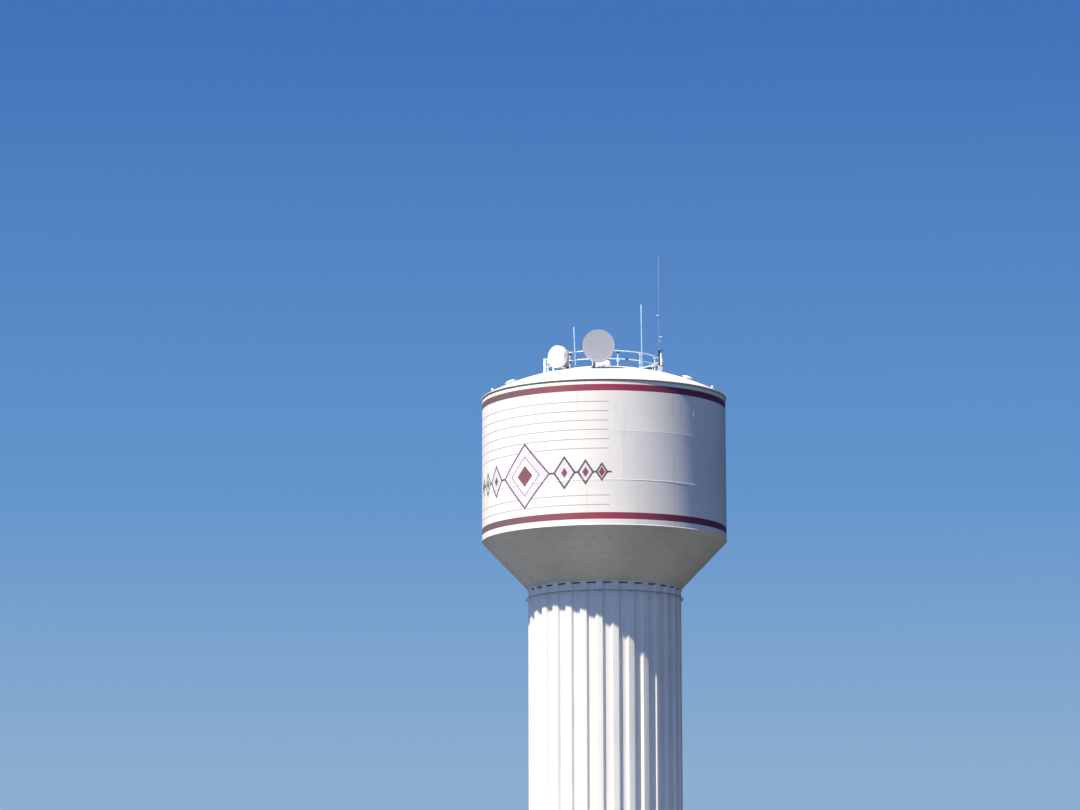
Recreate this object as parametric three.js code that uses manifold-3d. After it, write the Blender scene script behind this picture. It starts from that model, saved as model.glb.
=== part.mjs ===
// A water tower: a steel tank on a fluted steel column, built at half of its real size.
// Frame: +Z up, origin on the ground under the centre of the tank, door towards -Y.
// The sizes are the real tower's, in metres, and scaled() turns them into the model's millimetres.
// An azimuth is in degrees from -Y towards +X, and a level is a height above the ground.
import * as THREE from 'three';
import { mergeVertices } from 'three/addons/utils/BufferGeometryUtils.js';
import Module from 'manifold-3d';

const wasm = await Module();
wasm.setup();

const SCALE = 0.5;
const MM_PER_M = 1000;
const FIT_GAP = 0.3; // model millimetres between pieces that are fitted to each other

function scaled(sizes) {
  const entries = Object.entries(sizes).map(([name, metres]) => [name, metres * MM_PER_M * SCALE]);
  return Object.fromEntries(entries);
}

const LEVEL = scaled({
  slabTop: 0.16,
  foundationTop: 0.20,
  baseRingTop: 0.24,
  painterRail: 34.02,
  columnTop: 34.60,
  topRingTop: 34.67,
  coneTop: 37.65,
  lowerCourseTop: 40.44,
  middleCourseTop: 43.45,
  shellTop: 46.63,
  rimTop: 46.67,
  roofApex: 48.57,
});

const FOUNDATION = scaled({ inner: 4.10, outer: 5.35 });
const BASE_RING = scaled({ inner: 4.40, outer: 5.05 });
const COLUMN = scaled({ crest: 4.75, trough: 4.575, crestHalf: 0.205, troughHalf: 0.185, plate: 0.008 });
const FLUTES = 30;
const FLUTES_PER_PANEL = 3;
const BEND_SHIFT = Math.tan(THREE.MathUtils.degToRad(30)); // the plate turns 60 degrees at each bend
const TOP_RING = scaled({ inner: 4.30, outer: 4.80 });
const PAINTER_RAIL = scaled({ inner: 4.83, outer: 4.88, height: 0.06, lugWidth: 0.08 });
const PAINTER_LUGS = 15;

const DOOR = scaled({
  width: 0.95, height: 2.10, leaf: 0.05, jamb: 0.12, face: 4.86, back: 4.47, rebate: 0.03, play: 0.004,
});

const TANK = scaled({ radius: 7.62, plate: 0.012, coneFoot: 4.77, conePlate: 0.020 });
const TANK_FLOOR = scaled({ radius: 4.68, rise: 0.55, plate: 0.016 });
const FLOOR_STEPS = 3;
const FLOOR_SIDES = 36;
const SHELL_PLATES = 4;
const CONE_SEAM = 27.5;
const LOWER_SEAM = -27.5;
const MIDDLE_SEAM = 12.5;
const UPPER_SEAM = 50.3;

const ROOF = scaled({ radius: 7.69, plate: 0.008, rimInner: 7.45 });
const ROOF_STEPS = 6;
const ROUND_SIDES = 72;

const HANDRAIL = scaled({ radius: 3.50, pipe: 0.03, top: 0.98, middle: 0.47, pad: 0.09, padThick: 0.03 });
const HANDRAIL_POSTS = 14;
const HANDRAIL_FIRST = -32.7;
const HANDRAIL_SIDES = 3 * HANDRAIL_POSTS;
const RAIL_SIDES = 6;
const CORNER_SHARE = 1 / Math.cos(Math.PI / RAIL_SIDES); // a face's gap, measured at a corner

const HATCH = {
  azimuth: -86,
  ...scaled({ place: 0.27, aside: 0.25, width: 0.44, curb: 0.50, lid: 0.08, lip: 0.02 }),
};
const VENT = {
  azimuth: 94,
  ...scaled({ place: 0.19, aside: 0.25, neck: 0.18, neckHigh: 0.30, cap: 0.28, skirt: 0.14, dome: 0.24 }),
};
const VENT_STEPS = 4;

const MANWAY = scaled({ neck: 0.30, neckHigh: 0.08, lid: 0.36, lidThick: 0.04, dish: 0.07 });
const MANWAY_STEPS = 3;
const LEFT_MANWAY = { azimuth: -63, ...scaled({ place: 6.26 }) };
const RIGHT_MANWAY = { azimuth: 66, ...scaled({ place: 5.89 }) };
const LIGHT = scaled({ foot: 0.05, body: 0.09, stem: 0.07, high: 0.20 });
const LEFT_LIGHT = { azimuth: -72, ...scaled({ place: 7.15 }) };
const RIGHT_LIGHT = { azimuth: 78, ...scaled({ place: 7.03 }) };

const DISH_POST = scaled({ radius: 0.057, foot: 0.16, footThick: 0.03, clamp: 0.05, arm: 0.045 });
const ARM_SHARE = 0.8; // height of a drum's arm, as a share of its hub's width
const DISH_STEPS = 4;
const LARGE_DISH = {
  azimuth: -3.5,
  aim: 4,
  ...scaled({ radius: 0.985, shroud: 0.42, bowl: 0.34, hub: 0.17 }),
  ...scaled({ place: 4.59, level: 49.12, reach: 0.12, side: 0.30, post: 1.63 }),
};
const SMALL_DISH = {
  azimuth: -28,
  aim: -38,
  ...scaled({ radius: 0.69, shroud: 0.31, bowl: 0.30, hub: 0.13 }),
  ...scaled({ place: 4.175, level: 48.73, reach: 0.12, side: -0.29, post: 1.18 }),
};
const RADIO = scaled({ width: 0.26, depth: 0.20, high: 0.38, foot: 0.09, side: -0.06 });

const SPARE_POST = { azimuth: -76.3, ...scaled({ place: 3.73, radius: 0.09, high: 1.07, foot: 0.13 }) };
const MAST_POST = { azimuth: 108, ...scaled({ place: 3.74, radius: 0.13, high: 1.30, foot: 0.18 }) };
const MAST_HEAD = scaled({ radius: 0.06, high: 1.64 });
const BRACE = { azimuth: 90, ...scaled({ place: 2.00, radius: 0.05, rise: 0.84 }) };

const WHIP = scaled({ place: 3.63, clampHigh: 0.06, clampWide: 0.12 });
const LEFT_WHIP = { azimuth: -24.9, lean: -2.5, ...scaled({ radius: 0.038, top: 50.75, foot: 0.12 }) };
const MIDDLE_WHIP = { azimuth: 45.3, lean: -0.8, ...scaled({ radius: 0.038, top: 52.20, foot: 0.12 }) };
const TALL_WHIP = {
  azimuth: 78,
  lean: -0.2,
  ...scaled({ radius: 0.052, top: 55.60, foot: 0.12, slim: 0.026, sleeve: 1.36 }),
};
const TALL_WHIP_STUBS = [
  { side: 1, ...scaled({ level: 49.62, radius: 0.035, out: 0.21 }) },
  { side: 1, ...scaled({ level: 50.21, radius: 0.035, out: 0.20 }) },
  { side: 1, ...scaled({ level: 50.45, radius: 0.065, out: 0.24 }) },
  { side: -1, ...scaled({ level: 51.82, radius: 0.065, out: 0.17 }) },
];

const PAINT = { color: 0xf2f2f0, roughness: 0.45, metalness: 0 };
const SHADE_PAINT = { color: 0xd9d8d0, roughness: 0.5, metalness: 0 };
const CONCRETE = { color: 0xa9a59c, roughness: 0.9, metalness: 0 };
const GALVANIZED = { color: 0xaeb2b5, roughness: 0.45, metalness: 0.8 };
const RADOME = { color: 0xb9bac6, roughness: 0.55, metalness: 0 };
const LAMP_CLEAR = { color: 0xe6ebf0, roughness: 0.2, metalness: 0 };
const PIPE_SIDES = 8;
const POST_SIDES = 16;
const FITTING_SIDES = 24;
const DRUM_SIDES = 36;
const LAMP_SIDES = 12;

const tower = new THREE.Group();

function addMesh(name, geometry, look, azimuth = 0) {
  const mesh = new THREE.Mesh(geometry, new THREE.MeshStandardMaterial(look));
  mesh.name = name;
  mesh.rotation.z = THREE.MathUtils.degToRad(azimuth);
  tower.add(mesh);
}

function asSolid(geometry) {
  geometry.deleteAttribute('normal');
  geometry.deleteAttribute('uv');
  const welded = mergeVertices(geometry);
  const vertProperties = new Float32Array(welded.attributes.position.array);
  const triVerts = new Uint32Array(welded.index.array);
  return new wasm.Manifold(new wasm.Mesh({ numProp: 3, vertProperties, triVerts }));
}

function asGeometry(solid) {
  const cut = solid.getMesh();
  const geometry = new THREE.BufferGeometry();
  geometry.setAttribute('position', new THREE.BufferAttribute(cut.vertProperties, 3));
  geometry.setIndex(new THREE.BufferAttribute(cut.triVerts, 1));
  geometry.computeVertexNormals();
  return geometry;
}

function joined(solids) {
  return solids.reduce((whole, next) => whole.add(next));
}

// A closed profile of [radius, height] points turned about the Z axis.
function revolved(profile, sides = ROUND_SIDES) {
  const points = profile.map(([radius, height]) => new THREE.Vector2(radius, height));
  return new THREE.LatheGeometry(points, sides).rotateX(Math.PI / 2);
}

function ring(inner, outer, bottom, top, sides = ROUND_SIDES) {
  return revolved([[inner, bottom], [outer, bottom], [outer, top], [inner, top], [inner, bottom]], sides);
}

function box(width, depth, height, x, y, z) {
  return new THREE.BoxGeometry(width, depth, height).translate(x, y, z);
}

// A round bar between two points, given as THREE.Vector3.
function bar(from, to, radius, sides = PIPE_SIDES) {
  const run = new THREE.Vector3().subVectors(to, from);
  const turn = new THREE.Quaternion().setFromUnitVectors(THREE.Object3D.DEFAULT_UP, run.clone().normalize());
  const middle = new THREE.Vector3().addVectors(from, to).multiplyScalar(0.5);
  return new THREE.CylinderGeometry(radius, radius, run.length(), sides)
    .applyQuaternion(turn)
    .translate(middle.x, middle.y, middle.z);
}

function upright(radius, x, y, bottom, top, sides = PIPE_SIDES) {
  return bar(new THREE.Vector3(x, y, bottom), new THREE.Vector3(x, y, top), radius, sides);
}

// Height of a shallow spherical cap over its springing line.
function capHeight(radius, span, rise) {
  const sphere = (span * span + rise * rise) / (2 * rise);
  return rise - sphere + Math.sqrt(sphere * sphere - radius * radius);
}

// The outside line of such a cap, from its edge at the springing line up to the axis.
function capLine(span, rise, springing, steps) {
  return Array.from({ length: steps + 1 }, (unused, step) => {
    const radius = span * (1 - step / steps);
    return [radius, springing + (step === 0 ? 0 : capHeight(radius, span, rise))];
  });
}

// A wedge about the Z axis that cuts one plate out of a full ring, with its share of the fit gap.
function wedge(from, sweep, radius, bottom, top) {
  const trim = THREE.MathUtils.radToDeg(FIT_GAP / 2 / radius);
  const corners = [from + trim, from + sweep / 2, from + sweep - trim].map((azimuth) => {
    const angle = THREE.MathUtils.degToRad(azimuth - 90);
    return new THREE.Vector2(Math.cos(angle), Math.sin(angle)).multiplyScalar(radius * 2);
  });
  const outline = new THREE.Shape([new THREE.Vector2(0, 0), ...corners]);
  const depth = top - bottom;
  return new THREE.ExtrudeGeometry(outline, { depth, bevelEnabled: false }).translate(0, 0, bottom);
}

function addPlates(name, profile, firstSeam, radius, bottom, top) {
  const course = asSolid(revolved(profile));
  const sweep = 360 / SHELL_PLATES;
  for (let plate = 0; plate < SHELL_PLATES; plate += 1) {
    const cutter = asSolid(wedge(firstSeam + plate * sweep, sweep, radius, bottom - FIT_GAP, top + FIT_GAP));
    addMesh(`${name}_${plate + 1}`, asGeometry(course.intersect(cutter)), PAINT);
  }
}

// The footing: a concrete ring under the column, and the floor inside it.

function addFoundation() {
  addMesh('foundation_ring', ring(FOUNDATION.inner, FOUNDATION.outer, 0, LEVEL.foundationTop), CONCRETE);
  const slabRadius = FOUNDATION.inner - FIT_GAP;
  const slab = revolved([[0, 0], [slabRadius, 0], [slabRadius, LEVEL.slabTop], [0, LEVEL.slabTop]]);
  addMesh('floor_slab', slab, CONCRETE);
  addMesh('base_ring', ring(BASE_RING.inner, BASE_RING.outer, LEVEL.foundationTop, LEVEL.baseRingTop), PAINT);
}

// The column: ten fluted panels, the ring that closes them, and the painters' rail.

const FLUTE_PITCH = 360 / FLUTES;
const PANEL_SWEEP = FLUTE_PITCH * FLUTES_PER_PANEL;

// A point at a distance along and out from the line of an azimuth.
function facing(azimuth, along, out) {
  const point = new THREE.Vector2(along, -out);
  return point.rotateAround(new THREE.Vector2(), THREE.MathUtils.degToRad(azimuth));
}

// One face of a panel, from trough to trough, set in from the outside by a depth.
function fluteLine(depth) {
  const crest = COLUMN.crest - depth;
  const trough = COLUMN.trough - depth;
  const crestHalf = COLUMN.crestHalf - depth * BEND_SHIFT;
  const troughHalf = COLUMN.troughHalf + depth * BEND_SHIFT;
  const line = [facing(-PANEL_SWEEP / 2, FIT_GAP / 2, trough)];
  for (let flute = 0; flute < FLUTES_PER_PANEL; flute += 1) {
    const middle = (flute - (FLUTES_PER_PANEL - 1) / 2) * FLUTE_PITCH;
    const before = middle - FLUTE_PITCH / 2;
    const after = middle + FLUTE_PITCH / 2;
    line.push(facing(before, troughHalf, trough), facing(middle, -crestHalf, crest));
    line.push(facing(middle, crestHalf, crest), facing(after, -troughHalf, trough));
  }
  line.push(facing(PANEL_SWEEP / 2, -FIT_GAP / 2, trough));
  return line;
}

function panelGeometry() {
  const outline = new THREE.Shape([...fluteLine(0), ...fluteLine(COLUMN.plate).reverse()]);
  const depth = LEVEL.columnTop - LEVEL.baseRingTop;
  const panel = new THREE.ExtrudeGeometry(outline, { depth, bevelEnabled: false });
  return panel.translate(0, 0, LEVEL.baseRingTop);
}

function doorwayCutter() {
  const width = DOOR.width + 2 * DOOR.jamb + 2 * FIT_GAP;
  const height = DOOR.height + DOOR.jamb + FIT_GAP;
  const depth = 2 * (DOOR.face - DOOR.back);
  const below = DOOR.jamb;
  const middle = LEVEL.baseRingTop + (height - below) / 2;
  return asSolid(box(width, depth, height + below, 0, -DOOR.face, middle));
}

function addColumn() {
  const panels = FLUTES / FLUTES_PER_PANEL;
  for (let panel = 0; panel < panels; panel += 1) {
    const number = String(panel + 1).padStart(2, '0');
    const whole = panelGeometry();
    const geometry = panel === 0 ? asGeometry(asSolid(whole).subtract(doorwayCutter())) : whole;
    addMesh(`column_wall_${number}`, geometry, PAINT, panel * PANEL_SWEEP);
  }
  addMesh('column_top_ring', ring(TOP_RING.inner, TOP_RING.outer, LEVEL.columnTop, LEVEL.topRingTop), PAINT);
}

function addPainterRail() {
  const top = LEVEL.painterRail + PAINTER_RAIL.height;
  const pieces = [asSolid(ring(PAINTER_RAIL.inner, PAINTER_RAIL.outer, LEVEL.painterRail, top))];
  const lugFrom = COLUMN.crest + FIT_GAP;
  const lugTo = (PAINTER_RAIL.inner + PAINTER_RAIL.outer) / 2;
  const lugMiddle = LEVEL.painterRail + PAINTER_RAIL.height / 2;
  const lugHigh = PAINTER_RAIL.height / 2;
  for (let lug = 0; lug < PAINTER_LUGS; lug += 1) {
    const arm = box(PAINTER_RAIL.lugWidth, lugTo - lugFrom, lugHigh, 0, -(lugFrom + lugTo) / 2, lugMiddle);
    pieces.push(asSolid(arm.rotateZ(THREE.MathUtils.degToRad((lug * 360) / PAINTER_LUGS))));
  }
  addMesh('painters_rail', asGeometry(joined(pieces)), PAINT);
}

// The door at the foot: a steel portal through the flutes, and the leaf in its rebate.

function addDoor() {
  const sill = LEVEL.baseRingTop;
  const depth = DOOR.face - DOOR.back;
  const outerWidth = DOOR.width + 2 * DOOR.jamb;
  const outerHeight = DOOR.height + DOOR.jamb;
  const middleDepth = -(DOOR.face + DOOR.back) / 2;
  const portal = asSolid(box(outerWidth, depth, outerHeight, 0, middleDepth, sill + outerHeight / 2));
  const throughWidth = DOOR.width - 2 * DOOR.rebate;
  const throughHeight = DOOR.height - DOOR.rebate;
  const through = asSolid(box(throughWidth, 2 * depth, 2 * throughHeight, 0, middleDepth, sill));
  const seatDepth = DOOR.leaf + DOOR.rebate;
  const seat = asSolid(box(DOOR.width, 2 * seatDepth, 2 * DOOR.height, 0, -DOOR.face, sill));
  addMesh('door_frame', asGeometry(portal.subtract(through).subtract(seat)), SHADE_PAINT);

  const leafWidth = DOOR.width - 2 * DOOR.play;
  const leafHeight = DOOR.height - DOOR.play;
  const leafMiddle = -(DOOR.face - seatDepth) - FIT_GAP - DOOR.leaf / 2;
  const leaf = box(leafWidth, DOOR.leaf, leafHeight, 0, leafMiddle, sill + leafHeight / 2);
  addMesh('door_leaf', leaf, SHADE_PAINT);
}

// The tank: a dished floor, a cone, three courses of shell plates, and the rim.

function addTankFloor() {
  const { radius, rise, plate } = TANK_FLOOR;
  const low = capLine(radius, rise, LEVEL.topRingTop, FLOOR_STEPS).reverse();
  const high = capLine(radius, rise, LEVEL.topRingTop + plate, FLOOR_STEPS);
  addMesh('tank_floor', revolved([...low, ...high], FLOOR_SIDES), PAINT);
}

function addTank() {
  const { radius, plate, coneFoot, conePlate } = TANK;
  const cone = [
    [coneFoot - conePlate, LEVEL.topRingTop], [coneFoot, LEVEL.topRingTop],
    [radius, LEVEL.coneTop], [radius - conePlate, LEVEL.coneTop],
    [coneFoot - conePlate, LEVEL.topRingTop],
  ];
  addPlates('cone_plate', cone, CONE_SEAM, radius, LEVEL.topRingTop, LEVEL.coneTop);
  const courses = [
    ['shell_lower', LOWER_SEAM, LEVEL.coneTop, LEVEL.lowerCourseTop],
    ['shell_middle', MIDDLE_SEAM, LEVEL.lowerCourseTop, LEVEL.middleCourseTop],
    ['shell_upper', UPPER_SEAM, LEVEL.middleCourseTop, LEVEL.shellTop],
  ];
  for (const [name, seam, bottom, top] of courses) {
    const inner = radius - plate;
    const wall = [[inner, bottom], [radius, bottom], [radius, top], [inner, top], [inner, bottom]];
    addPlates(name, wall, seam, radius, bottom, top);
  }
  addMesh('roof_rim', ring(ROOF.rimInner, ROOF.radius, LEVEL.shellTop, LEVEL.rimTop), PAINT);
}

// The roof: a shallow dome, and what stands on it.

const ROOF_RISE = LEVEL.roofApex - LEVEL.rimTop;

const ROOF_SPHERE = (ROOF.radius ** 2 + ROOF_RISE ** 2) / (2 * ROOF_RISE);

function roofLevel(radius) {
  return LEVEL.rimTop + capHeight(radius, ROOF.radius, ROOF_RISE);
}

// The dome's outside line, from the rim up to the axis.
function roofLine(lift = 0) {
  return capLine(ROOF.radius, ROOF_RISE, LEVEL.rimTop + lift, ROOF_STEPS);
}

function addRoof() {
  const insideFoot = Math.sqrt(ROOF_SPHERE ** 2 - (ROOF_SPHERE - ROOF_RISE + ROOF.plate) ** 2);
  const inside = roofLine(-ROOF.plate).slice(1).reverse();
  addMesh('roof', revolved([...inside, [insideFoot, LEVEL.rimTop], ...roofLine()]), PAINT);
}

// Everything under the dome's outside, and the fit gap over it: what stands on the roof is cut by it.
function underRoof() {
  const deep = LEVEL.shellTop;
  return asSolid(revolved([[0, deep], [ROOF.radius, deep], ...roofLine(FIT_GAP)]));
}

const ROOF_CUTTER = underRoof();

// Pieces are drawn at azimuth 0, joined, turned to their azimuth and cut to sit on the dome.
function roofPiece(azimuth, pieces) {
  const turn = THREE.MathUtils.degToRad(azimuth);
  const solids = pieces.map((piece) => asSolid(piece.rotateZ(turn)));
  return joined(solids).subtract(ROOF_CUTTER);
}

function addRoofPiece(name, look, azimuth, pieces) {
  addMesh(name, asGeometry(roofPiece(azimuth, pieces)), look);
}

function roofFoot(radius, thick, place) {
  return upright(radius, 0, -place, roofLevel(place + radius) - thick, roofLevel(place) + thick);
}

// The rails, posts and pads, thickened by the fit gap where they cut what is clamped to them.
function handrailPieces(grow = 0) {
  const base = roofLevel(HANDRAIL.radius);
  const pipe = HANDRAIL.pipe + grow;
  const rails = [HANDRAIL.middle, HANDRAIL.top].map((height) => {
    const hoop = new THREE.TorusGeometry(HANDRAIL.radius, pipe, RAIL_SIDES, HANDRAIL_SIDES);
    return hoop.translate(0, 0, base + height);
  });
  const posts = [];
  for (let post = 0; post < HANDRAIL_POSTS; post += 1) {
    const turn = THREE.MathUtils.degToRad((post * 360) / HANDRAIL_POSTS);
    const stemTop = base + HANDRAIL.top;
    posts.push(upright(pipe, 0, -HANDRAIL.radius, base - HANDRAIL.pad, stemTop, RAIL_SIDES).rotateZ(turn));
    posts.push(roofFoot(HANDRAIL.pad + grow, HANDRAIL.padThick + grow, HANDRAIL.radius).rotateZ(turn));
  }
  return [...rails, ...posts].map((piece) => piece.rotateZ(THREE.MathUtils.degToRad(HANDRAIL_FIRST)));
}

// What is clamped to the rails is also cut to sit against them.
const HANDRAIL_CUTTER = joined(handrailPieces(FIT_GAP * CORNER_SHARE).map(asSolid));

function addClampedPiece(name, look, azimuth, pieces) {
  addMesh(name, asGeometry(roofPiece(azimuth, pieces).subtract(HANDRAIL_CUTTER)), look);
}

function addHandrail() {
  addMesh('roof_handrail', asGeometry(joined(handrailPieces().map(asSolid)).subtract(ROOF_CUTTER)), PAINT);
}

function addHatch() {
  const { azimuth, place, aside, width, curb, lid, lip } = HATCH;
  const low = roofLevel(place + aside + width);
  const curbTop = roofLevel(0) + curb;
  addRoofPiece('access_hatch', PAINT, azimuth, [
    box(width, width, curbTop - low, aside, -place, (curbTop + low) / 2),
    box(width + 2 * lip, width + 2 * lip, lid, aside, -place, curbTop + lid / 2 - lip),
  ]);
}

function addVent() {
  const { azimuth, place, aside, neck, neckHigh, cap, skirt, dome } = VENT;
  const base = roofLevel(place);
  const neckTop = base + neckHigh;
  const hood = [[0, neckTop], [cap, neckTop], ...capLine(cap, dome, neckTop + skirt, VENT_STEPS)];
  addRoofPiece('roof_vent', PAINT, azimuth, [
    upright(neck, aside, -place, base - neck, neckTop + skirt / 2, FITTING_SIDES),
    revolved(hood, FITTING_SIDES).translate(aside, -place, 0),
  ]);
}

// A manway stands square to the roof's slope, under a dished cover.
function addManway(name, { azimuth, place }) {
  const { neck, neckHigh, lid, lidThick, dish } = MANWAY;
  const lidTop = neckHigh + lidThick;
  const profile = [
    [0, -neck], [neck, -neck], [neck, neckHigh], [lid, neckHigh], [lid, lidTop],
    ...capLine(neck, dish, lidTop, MANWAY_STEPS),
  ];
  const manway = revolved(profile, FITTING_SIDES)
    .rotateX(Math.asin(place / ROOF_SPHERE))
    .translate(0, -place, roofLevel(place));
  addRoofPiece(name, PAINT, azimuth, [manway]);
}

function addLight(name, { azimuth, place }) {
  const base = roofLevel(place);
  const lens = new THREE.SphereGeometry(LIGHT.body, LAMP_SIDES, LAMP_SIDES / 2).rotateX(Math.PI / 2);
  addRoofPiece(name, LAMP_CLEAR, azimuth, [
    upright(LIGHT.foot, 0, -place, base - LIGHT.foot, base + LIGHT.stem),
    lens.translate(0, -place, base + LIGHT.high - LIGHT.body),
  ]);
}

// Drum antennas: a shrouded dish on the axis of its aim, clamped to a pipe on the roof.

function dishProfile({ radius, shroud, bowl, hub }) {
  const curve = Array.from({ length: DISH_STEPS + 1 }, (unused, step) => {
    const at = hub + ((radius - hub) * step) / DISH_STEPS;
    return [at, bowl * (at / radius) ** 2];
  });
  return [[0, curve[0][1]], ...curve, [radius, bowl + shroud], [0, bowl + shroud]];
}

function addDish(name, dish, extras = []) {
  const { azimuth, place, aim, level, reach, side, post, hub } = dish;
  const turn = THREE.MathUtils.degToRad(aim - azimuth);
  const pivot = new THREE.Vector3(0, -place, level);
  const backAt = DISH_POST.radius + reach;
  const hubBack = dishProfile(dish)[0][1];
  const drum = revolved(dishProfile(dish), DRUM_SIDES)
    .translate(0, 0, -hubBack)
    .rotateX(Math.PI / 2)
    .translate(side, -backAt - FIT_GAP, 0)
    .rotateZ(turn)
    .translate(pivot.x, pivot.y, pivot.z);
  addRoofPiece(name, RADOME, azimuth, [drum]);

  const base = roofLevel(place);
  const width = Math.abs(side) + 2 * hub;
  const plate = box(width, DISH_POST.clamp, 2 * hub, side / 2, -backAt + DISH_POST.clamp / 2, 0);
  const arm = box(2 * DISH_POST.arm, backAt, 2 * hub * ARM_SHARE, 0, -backAt / 2, 0);
  const onAim = [plate, arm].map((piece) => piece.rotateZ(turn).translate(pivot.x, pivot.y, pivot.z));
  addClampedPiece(`${name}_mount`, GALVANIZED, azimuth, [
    upright(DISH_POST.radius, 0, -place, base - DISH_POST.foot, base + post),
    roofFoot(DISH_POST.foot, DISH_POST.footThick, place),
    ...onAim,
    ...railTies(place),
    ...extras,
  ]);
}

// The grey box low on the small drum's pipe.
function radioBox() {
  const { width, depth, high, foot, side } = RADIO;
  const { place } = SMALL_DISH;
  return box(width, depth, high, side, -place, roofLevel(place) + foot + high / 2);
}

// Pipes and whips that stand outside the handrail, tied to its two rails.

function railTies(place) {
  const from = HANDRAIL.radius + HANDRAIL.pipe / 2;
  const base = roofLevel(HANDRAIL.radius);
  return [HANDRAIL.middle, HANDRAIL.top].map((height) => (
    box(WHIP.clampWide, place - from, WHIP.clampHigh, 0, -(place + from) / 2, base + height)));
}

function postPieces({ place, radius, high, foot }) {
  const base = roofLevel(place);
  return [
    upright(radius, 0, -place, base - foot, base + high, POST_SIDES),
    roofFoot(foot, DISH_POST.footThick, place),
    ...railTies(place),
  ];
}

// The mast post has a slim pipe in its head, and a brace to a pad nearer the roof's centre.
function addMastPost() {
  const { azimuth, place, high } = MAST_POST;
  const base = roofLevel(place);
  const head = upright(MAST_HEAD.radius, 0, -place, base + high / 2, base + MAST_HEAD.high);
  const aside = BRACE.azimuth - azimuth;
  const foot = facing(aside, 0, BRACE.place);
  const strut = bar(
    new THREE.Vector3(foot.x, foot.y, roofLevel(BRACE.place)),
    new THREE.Vector3(0, -place, base + BRACE.rise),
    BRACE.radius,
  );
  const pad = roofFoot(HANDRAIL.pad, HANDRAIL.padThick, BRACE.place).rotateZ(THREE.MathUtils.degToRad(aside));
  addClampedPiece('mast_post', PAINT, azimuth, [...postPieces(MAST_POST), head, strut, pad]);
}

function addWhip(name, whip, extras = []) {
  const { azimuth, lean, radius, top, foot } = whip;
  const bottom = roofLevel(WHIP.place) + foot;
  const rod = upright(radius, 0, -WHIP.place, bottom, top);
  const pivotLevel = roofLevel(HANDRAIL.radius) + HANDRAIL.middle;
  const leaning = [rod, ...extras].map((piece) => (
    piece
      .translate(0, 0, -pivotLevel)
      .rotateY(THREE.MathUtils.degToRad(lean))
      .translate(0, 0, pivotLevel)));
  addClampedPiece(name, PAINT, azimuth, [...leaning, ...railTies(WHIP.place)]);
}

// The tall whip is a slim rod in a thicker sleeve. Short stubs point outward, or inward where side is -1.
function addTallWhip() {
  const { azimuth, lean, radius, top, foot, slim, sleeve } = TALL_WHIP;
  const sleeveTop = roofLevel(WHIP.place) + foot + sleeve;
  const stubs = TALL_WHIP_STUBS.map((stub) => bar(
    new THREE.Vector3(0, -WHIP.place, stub.level),
    new THREE.Vector3(0, -WHIP.place - stub.side * stub.out, stub.level),
    stub.radius,
  ));
  const rod = upright(slim, 0, -WHIP.place, sleeveTop - sleeve / 2, top);
  addWhip('tall_whip', { azimuth, lean, radius, top: sleeveTop, foot }, [rod, ...stubs]);
}

addFoundation();
addColumn();
addPainterRail();
addDoor();
addTankFloor();
addTank();
addRoof();
addHandrail();
addHatch();
addVent();
addManway('roof_manway_left', LEFT_MANWAY);
addManway('roof_manway_right', RIGHT_MANWAY);
addLight('obstruction_light_left', LEFT_LIGHT);
addLight('obstruction_light_right', RIGHT_LIGHT);
addDish('large_antenna', LARGE_DISH);
addDish('small_antenna', SMALL_DISH, [radioBox()]);
addClampedPiece('spare_post', PAINT, SPARE_POST.azimuth, postPieces(SPARE_POST));
addMastPost();
addWhip('left_whip', LEFT_WHIP);
addWhip('middle_whip', MIDDLE_WHIP);
addTallWhip();

export default tower;
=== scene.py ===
# %% [markdown]
# # A water tower on a fluted column
#
# The tower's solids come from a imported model, at half of the real tower's size and in metres. They have the right
# places and sizes, but few facets and no wear. This file dresses them: it makes smooth plates with weld beads, the
# paint, the fittings on the roof, the anchor bolts, the floor, the light and the camera. Each step has a short note
# first and its code after it.
#
# Heights are over the ground, in metres. An azimuth is in degrees from the tower's front (-Y) towards its right (+X).

# %% Load the solids
import math

import bmesh
import bpy
from mathutils import Matrix, Vector


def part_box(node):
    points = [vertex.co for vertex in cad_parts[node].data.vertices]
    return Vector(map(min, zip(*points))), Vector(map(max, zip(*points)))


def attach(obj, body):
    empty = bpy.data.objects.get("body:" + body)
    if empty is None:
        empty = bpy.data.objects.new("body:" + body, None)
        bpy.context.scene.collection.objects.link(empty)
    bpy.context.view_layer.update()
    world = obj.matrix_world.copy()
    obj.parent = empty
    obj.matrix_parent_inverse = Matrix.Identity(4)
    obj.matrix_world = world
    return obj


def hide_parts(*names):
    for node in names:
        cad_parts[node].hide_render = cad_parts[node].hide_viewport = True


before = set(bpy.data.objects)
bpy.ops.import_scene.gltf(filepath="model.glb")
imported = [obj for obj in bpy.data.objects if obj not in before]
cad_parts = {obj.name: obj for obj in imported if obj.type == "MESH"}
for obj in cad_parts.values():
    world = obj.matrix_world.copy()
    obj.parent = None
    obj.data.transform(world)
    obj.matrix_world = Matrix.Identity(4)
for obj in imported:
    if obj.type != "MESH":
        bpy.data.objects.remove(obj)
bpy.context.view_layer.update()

# %% [markdown]
# ## Where the picture is taken from
#
# The photo is taken from the ground, far away, looking up by ten degrees. A camera could be placed by eye, but here
# its place was worked out from the tank's edges and bands. The lens is long, so the tower is hardly foreshortened.

# %% The camera
PICTURE_WIDTH = 1080
FOCAL_PIXELS = 4161.51
SENSOR_WIDTH = 36.0
STAND_OFF = 128.566
EYE_HEIGHT = 0.8
STEP_ROUND = math.radians(4.0)
LOOK_UP = 0.17236
LOOK_ASIDE = -0.01554
CAMERA_ROLL = -0.00249
CLIP_FAR = 1000.0

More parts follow.
